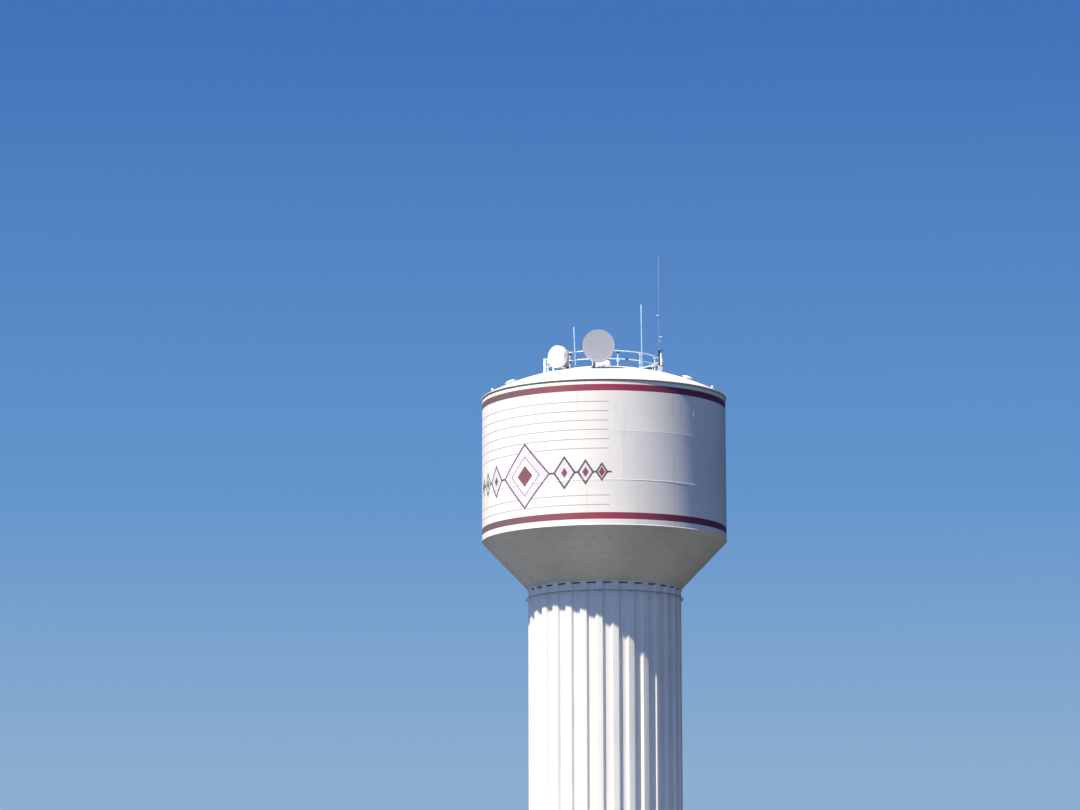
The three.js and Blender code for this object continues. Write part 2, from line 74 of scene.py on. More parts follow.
sight = Vector((
    math.sin(LOOK_ASIDE) * math.cos(LOOK_UP), math.cos(LOOK_ASIDE) * math.cos(LOOK_UP), math.sin(LOOK_UP)))
level_right = Vector((math.cos(LOOK_ASIDE), -math.sin(LOOK_ASIDE), 0.0))
level_up = level_right.cross(sight)
right = level_right * math.cos(CAMERA_ROLL) + level_up * math.sin(CAMERA_ROLL)
up = level_up * math.cos(CAMERA_ROLL) - level_right * math.sin(CAMERA_ROLL)

camera_data = bpy.data.cameras.new("photo_camera")
camera_data.sensor_fit = "HORIZONTAL"
camera_data.sensor_width = SENSOR_WIDTH
camera_data.lens = SENSOR_WIDTH * FOCAL_PIXELS / PICTURE_WIDTH
camera_data.clip_end = CLIP_FAR
camera = bpy.data.objects.new("photo_camera", camera_data)
bpy.context.scene.collection.objects.link(camera)
camera.matrix_world = (
    Matrix.Rotation(STEP_ROUND, 4, "Z")
    @ Matrix.Translation((0.0, -STAND_OFF, EYE_HEIGHT))
    @ Matrix((right, up, -sight)).transposed().to_4x4()
)
bpy.context.scene.camera = camera
print("lens:", round(camera_data.lens, 2), "mm, standing", STAND_OFF, "m away")

# %% [markdown]
# ## The sun
#
# The tower in the photo is lit by the sun from its front left, rather high. A sun lamp does the same: its rays are
# parallel wherever it stands, so only its direction counts. It is set a little wide, so that its shadows have a soft
# edge, and warm, because the light from the sky is blue. The Standard view keeps bright white paint white.

# %% The sun
SUN_AZIMUTH, SUN_ELEVATION = -41.0, 57.0
SUN_WIDTH = 1.2
SUN_POWER = 7.9
SUN_COLOUR = (1.0, 0.87, 0.68)

bpy.context.scene.view_settings.view_transform = "Standard"

sun_data = bpy.data.lights.new("sun", "SUN")
sun_data.energy = SUN_POWER
sun_data.angle = math.radians(SUN_WIDTH)
sun_data.color = SUN_COLOUR
sun = bpy.data.objects.new("sun", sun_data)
sun_from = Vector((
    math.sin(math.radians(SUN_AZIMUTH)) * math.cos(math.radians(SUN_ELEVATION)),
    -math.cos(math.radians(SUN_AZIMUTH)) * math.cos(math.radians(SUN_ELEVATION)),
    math.sin(math.radians(SUN_ELEVATION)),
))
sun.rotation_mode = "QUATERNION"
sun.rotation_quaternion = sun_from.to_track_quat("Z", "Y")
bpy.context.scene.collection.objects.link(sun)
print("sun from azimuth", SUN_AZIMUTH, "at", SUN_ELEVATION, "degrees")

# %% [markdown]
# ## The sky's light and the backdrop
#
# What the sun doesn't reach is lit by the sky. A sky texture could give that light, but a ramp over the height keeps
# each colour in hand: blue above, duller at the horizon, and dim below, because the tank's underside sees only the
# ground. The light is stronger from the sun's side. The camera sees a plain backdrop instead, which grows deeper
# upwards.

# %% The sky's light and the backdrop
SKY_STOPS = ((0.40, (0.10, 0.10, 0.078)), (0.53, (0.115, 0.196, 0.39)), (1.0, (0.128, 0.24, 0.585)))
BACKDROP_STOPS = ((0.08, (0.27, 0.43, 0.63)), (0.15, (0.127, 0.305, 0.61)), (0.26, (0.055, 0.168, 0.485)))
GLOW_AWAY, GLOW_SUNWARD = 0.28, 2.04

world = bpy.data.worlds.new("studio")
bpy.context.scene.world = world
world.use_nodes = True
sky = world.node_tree
sky.nodes.clear()


def three_stop_ramp(stops):
    """A colour ramp node of the world, with a position and a colour for each of its stops."""
    ramp = sky.nodes.new("ShaderNodeValToRGB")
    ramp.color_ramp.elements.new(0.5)
    for element, (position, colour) in zip(ramp.color_ramp.elements, stops):
        element.position = position
        element.color = (*colour, 1.0)
    return ramp


sky_place = sky.nodes.new("ShaderNodeTexCoord")
sky_height = sky.nodes.new("ShaderNodeSeparateXYZ")
sky_share = sky.nodes.new("ShaderNodeMapRange")
sky_share.inputs["From Min"].default_value = -1.0
sky_ramp = three_stop_ramp(SKY_STOPS)
toward_sun = sky.nodes.new("ShaderNodeVectorMath")
toward_sun.operation = "DOT_PRODUCT"
toward_sun.inputs[1].default_value = Vector((sun_from.x, sun_from.y, 0.0)).normalized()
glow_share = sky.nodes.new("ShaderNodeMapRange")
glow_share.inputs["From Min"].default_value = -1.0
glow_share.inputs["To Min"].default_value = GLOW_AWAY
glow_share.inputs["To Max"].default_value = GLOW_SUNWARD
sky_glow = sky.nodes.new("ShaderNodeBackground")
backdrop_ramp = three_stop_ramp(BACKDROP_STOPS)
backdrop = sky.nodes.new("ShaderNodeBackground")
seen_by = sky.nodes.new("ShaderNodeLightPath")
sky_or_backdrop = sky.nodes.new("ShaderNodeMixShader")
sky_out = sky.nodes.new("ShaderNodeOutputWorld")
for giver, output, taker, entry in (
        (sky_place, "Generated", sky_height, "Vector"), (sky_height, "Z", sky_share, "Value"),
        (sky_share, "Result", sky_ramp, "Fac"), (sky_ramp, "Color", sky_glow, "Color"),
        (sky_place, "Generated", toward_sun, 0), (toward_sun, "Value", glow_share, "Value"),
        (glow_share, "Result", sky_glow, "Strength"), (sky_height, "Z", backdrop_ramp, "Fac"),
        (backdrop_ramp, "Color", backdrop, "Color"), (seen_by, "Is Camera Ray", sky_or_backdrop, "Fac"),
        (sky_glow, "Background", sky_or_backdrop, 1), (backdrop, "Background", sky_or_backdrop, 2),
        (sky_or_backdrop, "Shader", sky_out, "Surface")):
    sky.links.new(giver.outputs[output], taker.inputs[entry])
print("world:", len(sky.nodes), "nodes and", len(sky.links), "links")

# %% [markdown]
# ## Finishes made of noise
#
# Nothing here is a picture wrapped on a surface. Each finish starts from clouds of noise measured in the tower's own
# metres: broad clouds for chalking paint, long thin ones for the runs that rain leaves, and fine ones for the grain
# that shows in a glancing light. One helper makes them all, so the scale of each can be read from its numbers.
# Another gives the distance to the tower's right, for paint that the sun has bleached on one side only.

# %% Clouds of noise


def shader_of(finish):
    return finish.node_tree.nodes["Principled BSDF"]


def new_finish(name, metallic=0.0):
    finish = bpy.data.materials.new(name)
    finish.use_nodes = True
    shader_of(finish).inputs["Metallic"].default_value = metallic
    return finish


def clouds(finish, size, stretch=(1.0, 1.0, 1.0), detail=4.0, roughness=0.55):
    """Noise whose clouds are size metres wide, drawn out along an axis where stretch is over 1."""
    nodes, links = finish.node_tree.nodes, finish.node_tree.links
    place = nodes.new("ShaderNodeTexCoord")
    scale = nodes.new("ShaderNodeMapping")
    scale.inputs["Scale"].default_value = [1.0 / (size * along) for along in stretch]
    noise = nodes.new("ShaderNodeTexNoise")
    noise.inputs["Scale"].default_value = 1.0
    noise.inputs["Detail"].default_value = detail
    noise.inputs["Roughness"].default_value = roughness
    links.new(place.outputs["Object"], scale.inputs["Vector"])
    links.new(scale.outputs["Vector"], noise.inputs["Vector"])
    return noise.outputs["Fac"]


def rightward(finish):
    """Metres from the tower's axis towards its right."""
    place = finish.node_tree.nodes.new("ShaderNodeTexCoord")
    parts = finish.node_tree.nodes.new("ShaderNodeSeparateXYZ")
    finish.node_tree.links.new(place.outputs["Object"], parts.inputs["Vector"])
    return parts.outputs["X"]


print("clouds of noise can be made in any size")

# %% [markdown]
# ## From noise to a surface
#
# A noise value is first spread out between two limits, then it mixes one colour into another, and it also drives the
# roughness and a shallow bump, because real paint is never one flat value. These steps are the same for every finish.
# With a helper for each, a finish reads as one line for each thing that has happened to it.

# %% Tints and bumps


def between(finish, value, low, high, start=0.0, end=1.0):
    """start where value is at or under low, end where it is at or over high."""
    spread = finish.node_tree.nodes.new("ShaderNodeMapRange")
    spread.inputs["From Min"].default_value = low
    spread.inputs["From Max"].default_value = high
    spread.inputs["To Min"].default_value = start
    spread.inputs["To Max"].default_value = end
    finish.node_tree.links.new(value, spread.inputs["Value"])
    return spread.outputs["Result"]


def tint(finish, share, first, second):
    """first where share is 0 and second where it is 1; each is a colour or another tint."""
    mix = finish.node_tree.nodes.new("ShaderNodeMix")
    mix.data_type = "RGBA"
    factor_socket, first_socket, second_socket = mix.inputs[0], mix.inputs[6], mix.inputs[7]
    finish.node_tree.links.new(share, factor_socket)
    for socket, colour in ((first_socket, first), (second_socket, second)):
        if isinstance(colour, tuple):
            socket.default_value = (*colour, 1.0)
        else:
            finish.node_tree.links.new(colour, socket)
    return mix.outputs[2]


def surface(finish, colour, roughness, height=None, depth=0.001, strength=0.3):
    shader = shader_of(finish)
    finish.node_tree.links.new(colour, shader.inputs["Base Color"])
    finish.node_tree.links.new(roughness, shader.inputs["Roughness"])
    if height is not None:
        bump = finish.node_tree.nodes.new("ShaderNodeBump")
        bump.inputs["Strength"].default_value = strength
        bump.inputs["Distance"].default_value = depth
        finish.node_tree.links.new(height, bump.inputs["Height"])
        finish.node_tree.links.new(bump.outputs["Normal"], shader.inputs["Normal"])
    return finish


print("helpers for finishes are ready, with", len(bpy.data.materials), "materials so far")

# %% [markdown]
# ## How paint weathers
#
# The whole tower has a white enamel. From far off it is almost even, but it chalks in broad patches, rain draws thin
# grey runs down it, and dust settles on it. One function makes every paint here, from the clean colour, the dusty
# colour and the colour of the runs. Red pigment fades fastest, so a paint can also be given a bleached colour for the
# left, where the sun stands longest, and a darker colour for the far right, which is painted shade for the side that
# the sun doesn't reach. The two mix across the tower's front.

# %% One recipe for every paint
BLEACH_FROM, BLEACH_TO = -3.0, 0.45
# Between these distances to the right a paint turns to its darker colour, which is painted shade for the shaded side.
SHADE_SIDE_FROM, SHADE_SIDE_TO = 0.6, 2.4


def weathered_paint(name, clean, dusty, runs, run_share=0.35, gloss=0.42, chalk=0.62, bleached=None, shade_side=None):
    finish = new_finish(name)
    if bleached:
        bleach = between(finish, rightward(finish), BLEACH_FROM, BLEACH_TO, 1.0, 0.0)
        # This share grows towards the far right, where the darker colour is mixed in as painted shade.
        shade_side_share = between(finish, rightward(finish), SHADE_SIDE_FROM, SHADE_SIDE_TO)
        clean, dusty = (
            tint(finish, shade_side_share, tint(finish, bleach, colour, bleached), shade_side) for colour in (clean, dusty))
    chalking = between(finish, clouds(finish, 2.6, detail=5.0), 0.42, 0.68)
    streaks = clouds(finish, 0.16, stretch=(1.0, 1.0, 16.0), detail=3.0)
    run_marks = between(finish, streaks, 0.56, 0.80, 0.0, run_share)
    colour = tint(finish, run_marks, tint(finish, chalking, clean, dusty), runs)
    peel = clouds(finish, 0.018, detail=2.0)
    dents = clouds(finish, 0.9, stretch=(1.0, 1.0, 0.8), detail=2.0)
    height = finish.node_tree.nodes.new("ShaderNodeMath")
    height.operation = "MULTIPLY_ADD"
    height.inputs[1].default_value = 8.0
    finish.node_tree.links.new(dents, height.inputs[0])
    finish.node_tree.links.new(peel, height.inputs[2])
    dullness = between(finish, chalking, 0.0, 1.0, gloss, chalk)
    return surface(finish, colour, dullness, height.outputs[0], depth=0.0012, strength=0.35)


WHITE, DUSTY_WHITE, RUN_GREY = (0.80, 0.80, 0.785), (0.735, 0.735, 0.715), (0.52, 0.51, 0.48)
white_enamel = weathered_paint("white_enamel", WHITE, DUSTY_WHITE, RUN_GREY)
print("the tower's enamel has", len(white_enamel.node_tree.nodes), "nodes")

# %% [markdown]
# ## The tower's paints
#
# The tank's underside has a darker, warmer enamel, as painted shade for the dim light that the ground gives it. Under
# the roof's edge one strip is a warmer, pinker white, as painted warm light in the eave's shade, and the strip above
# it is a dark brown, as painted shade for the eave's shadow line. The bands are crimson, bleached on the left and
# darker on the right, where the darkening is painted shade. The handrail's white is bluer than the tank's. Weld beads
# and the door hold a little more dirt.

# %% The tower's paints
cool_enamel = weathered_paint("cool_enamel", (0.755, 0.757, 0.755), (0.70, 0.702, 0.695), RUN_GREY)
# A darker, warmer enamel: painted shade for the tank's underside, which only the ground lights.
underside_shade_enamel = weathered_paint(
    "underside_shade_enamel", (0.67, 0.65, 0.595), (0.535, 0.525, 0.455), (0.345, 0.34, 0.28),
    run_share=0.5, gloss=0.5, chalk=0.72)
# The crimson's darker colour for the far right is painted shade for the side away from the sun.
crimson_paint = weathered_paint(
    "crimson_paint", (0.31, 0.030, 0.075), (0.29, 0.042, 0.085), (0.18, 0.03, 0.05),
    bleached=(0.165, 0.098, 0.107), shade_side=(0.15, 0.022, 0.068))
line_paint = weathered_paint("line_paint", (0.35, 0.35, 0.345), (0.40, 0.40, 0.39), (0.28, 0.27, 0.26))
rail_white = weathered_paint("rail_white_paint", (0.74, 0.88, 1.0), (0.70, 0.83, 0.95), (0.52, 0.57, 0.64))
rail_grey = weathered_paint("rail_grey_paint", (0.34, 0.35, 0.37), (0.30, 0.305, 0.31), (0.18, 0.17, 0.16))
# A mid grey for the radio box: painted shade for the shaded side of the small drum above it.
box_paint = weathered_paint("box_paint", (0.46, 0.47, 0.48), (0.40, 0.40, 0.40), (0.26, 0.25, 0.23), 0.6)
# A warmer, pinker white: painted warm light for the strip that lies in the eave's shade.
eave_warm_light_white = weathered_paint("eave_warm_light_white_paint", (0.93, 0.83, 0.79), (0.88, 0.79, 0.75), (0.62, 0.56, 0.50))
# A dark brown: painted shade for the eave's shadow line right under the roof's edge.
eave_shadow_line = weathered_paint("eave_shadow_line_paint", (0.60, 0.51, 0.39), (0.54, 0.46, 0.35), (0.34, 0.29, 0.22), 0.6)
charcoal_paint = weathered_paint("charcoal_paint", (0.075, 0.068, 0.072), (0.11, 0.105, 0.105), (0.05, 0.05, 0.05))
lavender_paint = weathered_paint("lavender_paint", (0.68, 0.66, 0.78), (0.64, 0.62, 0.72), (0.48, 0.46, 0.52))
violet_paint = weathered_paint("violet_paint", (0.17, 0.13, 0.28), (0.21, 0.17, 0.31), (0.12, 0.10, 0.18))
weld_paint = weathered_paint("weld_paint", (0.73, 0.73, 0.715), (0.66, 0.655, 0.63), (0.42, 0.40, 0.36), 0.6)
door_paint = weathered_paint("door_paint", (0.62, 0.62, 0.59), (0.55, 0.55, 0.51), (0.34, 0.31, 0.27), 0.6)
print("paints:", sum("paint" in m.name or "enamel" in m.name for m in bpy.data.materials))

# %% [markdown]
# ## Bare metal, plastic, glass and concrete
#
# Galvanized pipe has a spangle of zinc crystals, which a cell pattern gives. The drum antennas have a fabric or
# plastic cover that is matt and a little grey, and the whips are glossy plastic tubes, pale or blue-grey. Unpainted
# brackets and sleeves are almost navy. The lamps have a clear ribbed lens. The footing is concrete, so it has pores
# and stains.

# %% Other finishes
FLOOR_COLOUR = (0.36, 0.355, 0.345)


def zinc_finish(name, light, dark):
    finish = new_finish(name, metallic=0.85)
    cells = finish.node_tree.nodes.new("ShaderNodeTexVoronoi")
    cells.inputs["Scale"].default_value = 90.0
    place = finish.node_tree.nodes.new("ShaderNodeTexCoord")
    finish.node_tree.links.new(place.outputs["Object"], cells.inputs["Vector"])
    patches = between(finish, clouds(finish, 0.25), 0.4, 0.7, 0.0, 0.6)
    spangle = between(finish, cells.outputs["Distance"], 0.1, 0.7)
    colour = tint(finish, patches, tint(finish, spangle, light, dark), (0.36, 0.36, 0.35))
    return surface(finish, colour, between(finish, spangle, 0.0, 1.0, 0.34, 0.58), spangle, depth=0.0003)


def cover_finish(name, clean, stained, roughness, grain=0.01):
    finish = new_finish(name)
    stains = between(finish, clouds(finish, 0.55, stretch=(1.0, 1.0, 1.8)), 0.45, 0.75, 0.0, 0.8)
    drips = between(finish, clouds(finish, 0.05, stretch=(1.0, 1.0, 12.0)), 0.58, 0.8, 0.0, 0.35)
    colour = tint(finish, drips, tint(finish, stains, clean, stained), tuple(0.7 * part for part in stained))
    dullness = between(finish, stains, 0.0, 0.8, roughness, roughness + 0.15)
    return surface(finish, colour, dullness, clouds(finish, grain, detail=2.0), depth=0.0004)


def concrete_finish(name):
    finish = new_finish(name)
    stains = between(finish, clouds(finish, 0.9, detail=6.0), 0.38, 0.66)
    pores = clouds(finish, 0.012, detail=3.0, roughness=0.7)
    pits = between(finish, pores, 0.28, 0.42, 1.0, 0.0)
    colour = tint(finish, pits, tint(finish, stains, (0.46, 0.44, 0.40), (0.33, 0.32, 0.29)), (0.20, 0.19, 0.17))
    return surface(finish, colour, between(finish, stains, 0.0, 1.0, 0.82, 0.94), pores, depth=0.0025, strength=0.5)


galvanized = zinc_finish("galvanized", (0.62, 0.63, 0.64), (0.50, 0.51, 0.53))
dark_steel = zinc_finish("dark_steel", (0.10, 0.11, 0.16), (0.06, 0.065, 0.09))
grey_cover = cover_finish("grey_cover", (0.342, 0.372, 0.426), (0.318, 0.345, 0.396), 0.55)
cover_rim = cover_finish("cover_rim", (0.40, 0.43, 0.50), (0.37, 0.39, 0.45), 0.45)
white_cover = cover_finish("white_cover", (0.80, 0.80, 0.79), (0.74, 0.74, 0.72), 0.5)
whip_plastic = cover_finish("whip_plastic", (0.41, 0.63, 0.90), (0.38, 0.58, 0.83), 0.28)
pale_whip = cover_finish("pale_whip", (0.16, 0.29, 0.55), (0.15, 0.27, 0.50), 0.28)
stub_plastic = cover_finish("stub_plastic", (0.13, 0.24, 0.42), (0.12, 0.21, 0.37), 0.35)
navy_plastic = cover_finish("navy_plastic", (0.012, 0.014, 0.040), (0.022, 0.023, 0.050), 0.5)
clear_lens = cover_finish("clear_lens", (0.90, 0.92, 0.94), (0.84, 0.86, 0.88), 0.12, grain=0.03)
# Near-black: painted shade inside the vent's opening, and the radio box's dark gasket line.
opening_shade_and_gasket = cover_finish("opening_shade_and_gasket", (0.03, 0.03, 0.032), (0.02, 0.02, 0.02), 0.9)
concrete = concrete_finish("concrete")
floor_finish = cover_finish(
    "floor_finish", FLOOR_COLOUR, tuple(0.93 * part for part in FLOOR_COLOUR), 0.75, grain=0.05)
print("finishes:", len(bpy.data.materials))

# %% [markdown]
# ## Places on the tower
#
# Nearly everything here stands somewhere round the axis, at a distance from it and at a level. Typing in rotations
# one by one is slow and easy to get wrong, so a few short helpers turn an azimuth, a distance and a level into a
# point or a matrix, and give the points of arcs and of round swellings.

# %% Places on the tower


def outward(azimuth):
    """The level direction of an azimuth in degrees."""
    angle = math.radians(azimuth)
    return Vector((math.sin(angle), -math.cos(angle), 0.0))


def point_at(azimuth, radius, level):
    return outward(azimuth) * radius + Vector((0.0, 0.0, level))


def shift(x, y, z):
    return Matrix.Translation((x, y, z))


def spin(degrees, axis):
    return Matrix.Rotation(math.radians(degrees), 4, axis)


def on_tower(azimuth, radius=0.0, level=0.0):
    """A place on the tower: local -Y points away from the axis there and Z stays up."""
    return spin(azimuth, "Z") @ shift(0.0, -radius, level)


def arc(start, end, steps):
    """steps + 1 values from start to end, an even step apart."""
    return [start + (end - start) * step / steps for step in range(steps + 1)]


def swelling(radius, rise, level, start, end, steps):
    """(radius, height) points of a round swelling over a level, between two tilts in degrees."""
    points = []
    for tilt in arc(start, end, steps):
        reach = 0.0 if tilt == 90 else radius * math.cos(math.radians(tilt))
        points.append((reach, level + rise * math.sin(math.radians(tilt))))
    return points


print("azimuth 90, 2 m out, 3 m up:", [round(part, 3) for part in on_tower(90.0, 2.0, 3.0).translation])

# %% [markdown]
# ## Turned shapes
#
# Footing, rings, cone, dome, bolts and drums are round about an axis, as if turned on a lathe. Blender's Screw
# modifier can spin a profile too. In code it is as short, a part turn gets closed ends, and a face that touches the
# axis becomes a triangle, so that no edge has a length of nought.

# %% A turned shape


def turned_shape(profile, sides, start, sweep):
    """A closed (radius, height) profile, listed with the outside first going up, turned about Z."""
    whole = sweep >= 360.0
    stations = sides if whole else sides + 1
    count = len(profile)
    points = []
    for station in range(stations):
        ray = outward(start + sweep * station / sides)
        points.extend((ray.x * radius, ray.y * radius, height) for radius, height in profile)
    faces = []
    for station in range(sides):
        here, there = station * count, (station + 1) % stations * count
        for step in range(count):
            after = (step + 1) % count
            face = [here + step, there + step, there + after, here + after]
            if profile[step][0] == 0.0 and profile[after][0] == 0.0:
                continue
            if profile[step][0] == 0.0:
                face = [here + step, there + after, here + after]
            elif profile[after][0] == 0.0:
                face = [here + step, there + step, here + after]
            faces.append(face)
    if not whole:
        faces.append([*reversed(range(count))])
        faces.append([(stations - 1) * count + step for step in range(count)])
    return points, faces


print("a washer of 16 sides has", len(turned_shape([(1, 0), (2, 0), (2, 1), (1, 1)], 16, 0.0, 360.0)[1]), "faces")

# %% [markdown]
# ## Bent pipes
#
# Rails, braces, whips and weld beads are round bars along a line. A curve with a bevel looks the same, but a mesh can
# taper, close into a ring and share one object with the plates and bolts round it. At each point of the line a ring
# of points is laid square to it, and the direction it starts from is carried along, so the pipe never twists.

# %% A bent pipe


def pipe_shape(path, radius, sides, closed):
    """A round pipe along a line of points; radius is one value or one for each point."""
    path = [Vector(point) for point in path]
    radii = radius if isinstance(radius, list) else [radius] * len(path)
    points, faces = [], []
    side = None
    last = len(path) - 1
    for at, middle in enumerate(path):
        before = path[at - 1] if at or closed else middle
        after = path[(at + 1) % len(path)] if at < last or closed else middle
        run = (after - before).normalized()
        if side is None:
            side = run.orthogonal().normalized()
        side = (side - run * side.dot(run)).normalized()
        other = run.cross(side)
        for corner in range(sides):
            angle = 2.0 * math.pi * corner / sides
            points.append(middle + (side * math.cos(angle) + other * math.sin(angle)) * radii[at])
    for at in range(len(path) if closed else last):
        here, there = at * sides, (at + 1) % len(path) * sides
        for corner in range(sides):
            after = (corner + 1) % sides
            faces.append([here + corner, here + after, there + after, there + corner])
    if not closed:
        faces.append([*reversed(range(sides))])
        faces.append([last * sides + corner for corner in range(sides)])
    return points, faces


print("a straight pipe of 12 sides has", len(pipe_shape([(0, 0, 0), (0, 0, 1)], 0.1, 12, False)[1]), "faces")

# %% [markdown]
# ## Plates with worn edges
#
# A cube's edges are too sharp to catch the light, and no real plate has such edges. Here every plate is a box with a
# small chamfer all round, made from four rings of eight points. A Bevel modifier on a cube would do as well, but it
# gives a wrong width where a cube was scaled, and in code the width is simply a number.

# %% A plate


def plate_shape(width, depth, height, edge):
    """A plate centred on its place, with its chamfers' width."""
    w, d, h = width / 2.0, depth / 2.0, height / 2.0
    edge = min(edge, 0.45 * min(w, d, h))
    points = []
    for level, inset in ((-h, edge), (-h + edge, 0.0), (h - edge, 0.0), (h, edge)):
        x, y = w - inset, d - inset
        ring = [(x - edge, -y), (x, -y + edge), (x, y - edge), (x - edge, y)]
        ring += [(-x + edge, y), (-x, y - edge), (-x, -y + edge), (-x + edge, -y)]
        points += [(px, py, level) for px, py in ring]
    corners = 8
    faces = [[*reversed(range(corners))], [3 * corners + corner for corner in range(corners)]]
    for level in range(3):
        for corner in range(corners):
            after = (corner + 1) % corners
            low, high = level * corners, (level + 1) * corners
            faces.append([low + corner, low + after, high + after, high + corner])
    return points, faces


print("a plate has", len(plate_shape(1.0, 1.0, 0.1, 0.01)[1]), "faces")

# %% [markdown]
# ## The bench
#
# A piece is gathered from such shapes, each with its finish and its place, and becomes one named mesh in the end.
# Objects could be joined instead, but that takes more steps and more memory. Edges that turn by more than 35 degrees
# stay sharp, and all others are shaded smooth.

# %% The bench
SHARP_EDGE = math.radians(35.0)
WELD_DISTANCE = 0.00001
HERE = Matrix.Identity(4)


class Piece:
    def __init__(self, name):
        self.name = name
        self.points, self.faces = [], []
        self.finishes, self.face_finish = [], []

    def add(self, points, faces, finish, place=HERE):
        first = len(self.points)
        self.points.extend(place @ Vector(point) for point in points)
        self.faces.extend([first + corner for corner in face] for face in faces)
        if finish not in self.finishes:
            self.finishes.append(finish)
        self.face_finish.extend([self.finishes.index(finish)] * len(faces))

    def turned(self, profile, finish, sides=48, place=HERE, start=0.0, sweep=360.0):
        self.add(*turned_shape(profile, sides, start, sweep), finish, place)

    def rod(self, radius, low, high, finish, sides, place=HERE):
        """A straight round bar from one height to another."""
        self.turned([(0, low), (radius, low), (radius, high), (0, high)], finish, sides, place)

    def pipe(self, path, radius, finish, sides=12, place=HERE, closed=False):
        self.add(*pipe_shape(path, radius, sides, closed), finish, place)

    def plate(self, width, depth, height, finish, place=HERE, edge=0.002):
        self.add(*plate_shape(width, depth, height, edge), finish, place)

    def bolt(self, size, finish, place=HERE, length=0.0):
        """A hexagon head on a washer; its stem, if any, stands out along the local Z."""
        head, seat, top = 0.62 * size, 0.12 * size, 0.7 * size
        hexagon = [(0, seat), (head * 1.1, seat), (head * 1.1, 0.6 * size), (head, top), (0, top)]
        self.rod(0.95 * size, 0, seat, finish, 16, place)
        self.turned(hexagon, finish, 6, place)
        if length:
            self.rod(0.32 * size, top, length, finish, 10, place)

    def make(self, slot, *nodes, sharp=SHARP_EDGE, welded=False):
        mesh = bpy.data.meshes.new(self.name)
        mesh.from_pydata([tuple(point) for point in self.points], [], self.faces)
        for finish in self.finishes:
            mesh.materials.append(finish)
        mesh.polygons.foreach_set("material_index", self.face_finish)
        if welded:
            edited = bmesh.new()
            edited.from_mesh(mesh)
            bmesh.ops.remove_doubles(edited, verts=edited.verts, dist=WELD_DISTANCE)
            edited.to_mesh(mesh)
            edited.free()
        mesh.shade_smooth()
        mesh.set_sharp_from_angle(angle=sharp)
        mesh.validate()
        piece = bpy.data.objects.new(self.name, mesh)
        bpy.context.scene.collection.objects.link(piece)
        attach(piece, "root")
        if nodes:
            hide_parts(*nodes)
        return piece


print("the bench is ready")

# %% [markdown]
# ## The studio's floor
#
# The tower stands on a plain pale disc with a rounded edge. A square plane would do, but its corners would show in
# views from above. It is small, so that little light bounces up from it to the tank.

# %% The floor
FLOOR_RADIUS = 12.0
floor = Piece("floor_disc")
floor.turned([(0, -0.06), (FLOOR_RADIUS - 0.04, -0.06), (FLOOR_RADIUS, -0.04), (FLOOR_RADIUS, -0.012),
              (FLOOR_RADIUS - 0.01, -0.002), (0, -0.002)], floor_finish, 128)
floor_piece = floor.make("concrete")
print("the floor is", 2 * FLOOR_RADIUS, "m across")

# %% [markdown]
# ## The footing and the steel ring on it
#
# The column stands on a concrete ring. Its upper edges are chamfered, as a carpenter's fillet in the formwork leaves
# them. A steel base ring lies on it, and a pair of anchor bolts in each trough of the flutes holds it down. A scaled
# cylinder would have neither the hole nor the chamfer, so the concrete is turned from a profile. The bolts are placed
# in a loop, because they repeat every twelve degrees.

# %% Footing, base ring and anchor bolts
ROUND = 180
FOOTING_INNER, FOOTING_OUTER, FOOTING_TOP = 2.05, 2.675, 0.10
CHAMFER = 0.02
SLAB_TOP = 0.08
BASE_INNER, BASE_OUTER, BASE_TOP = 2.20, 2.525, 0.12
FLUTES = 30
FLUTE_PITCH = 360.0 / FLUTES
ANCHOR_RADIUS = 2.455
ANCHOR_SIZE = 0.028
DOORWAY_HALF = 0.2975

footing = Piece("footing")
footing.turned([
    (FOOTING_INNER, 0.0), (FOOTING_OUTER, 0.0), (FOOTING_OUTER, 0.045), (FOOTING_OUTER - 0.003, 0.048),
    (FOOTING_OUTER - 0.003, 0.052), (FOOTING_OUTER, 0.055), (FOOTING_OUTER, FOOTING_TOP - CHAMFER),
    (FOOTING_OUTER - CHAMFER, FOOTING_TOP), (FOOTING_INNER, FOOTING_TOP)], concrete, ROUND)
footing.make("concrete", "foundation_ring")

slab = Piece("inner_floor")
slab.rod(FOOTING_INNER - 0.0003, 0.0, SLAB_TOP, concrete, 96)
slab.make("concrete", "floor_slab")

base = Piece("base_ring_plate")
base.turned([(BASE_INNER, FOOTING_TOP), (BASE_OUTER, FOOTING_TOP), (BASE_OUTER, BASE_TOP - 0.003),
             (BASE_OUTER - 0.003, BASE_TOP), (BASE_INNER, BASE_TOP)], weld_paint, ROUND)
base.make("tank_paint", "base_ring")

anchors = Piece("anchor_bolts")
anchor_count = 0
for flute in range(FLUTES):
    trough = (flute + 0.5) * FLUTE_PITCH
    for aside in (-1.1, 1.1):
        azimuth = trough + aside
        if abs(ANCHOR_RADIUS * outward(azimuth).x) < DOORWAY_HALF + 0.05 and outward(azimuth).y < 0:
            continue
        seat = on_tower(azimuth, ANCHOR_RADIUS, BASE_TOP)
        anchors.plate(0.075, 0.075, 0.012, weld_paint, seat @ shift(0, 0, 0.006))
        anchors.bolt(ANCHOR_SIZE, galvanized, seat @ shift(0, 0, 0.012), length=0.06)
        anchor_count += 1
anchors.make("galvanized")
print("anchor bolts:", anchor_count)

# %% [markdown]
# ## The section of the fluted column
#
# The column's plates are pressed into flutes: thirty flat ridges with flat troughs between them and sloping sides.
# A plain cylinder with a bump would give no outline at its edges and no true shadows, so the section of a panel with
# three flutes is drawn as a line. Its corners come from the widths of ridge and trough, and each corner is rounded
# with a small arc, as the press leaves it.

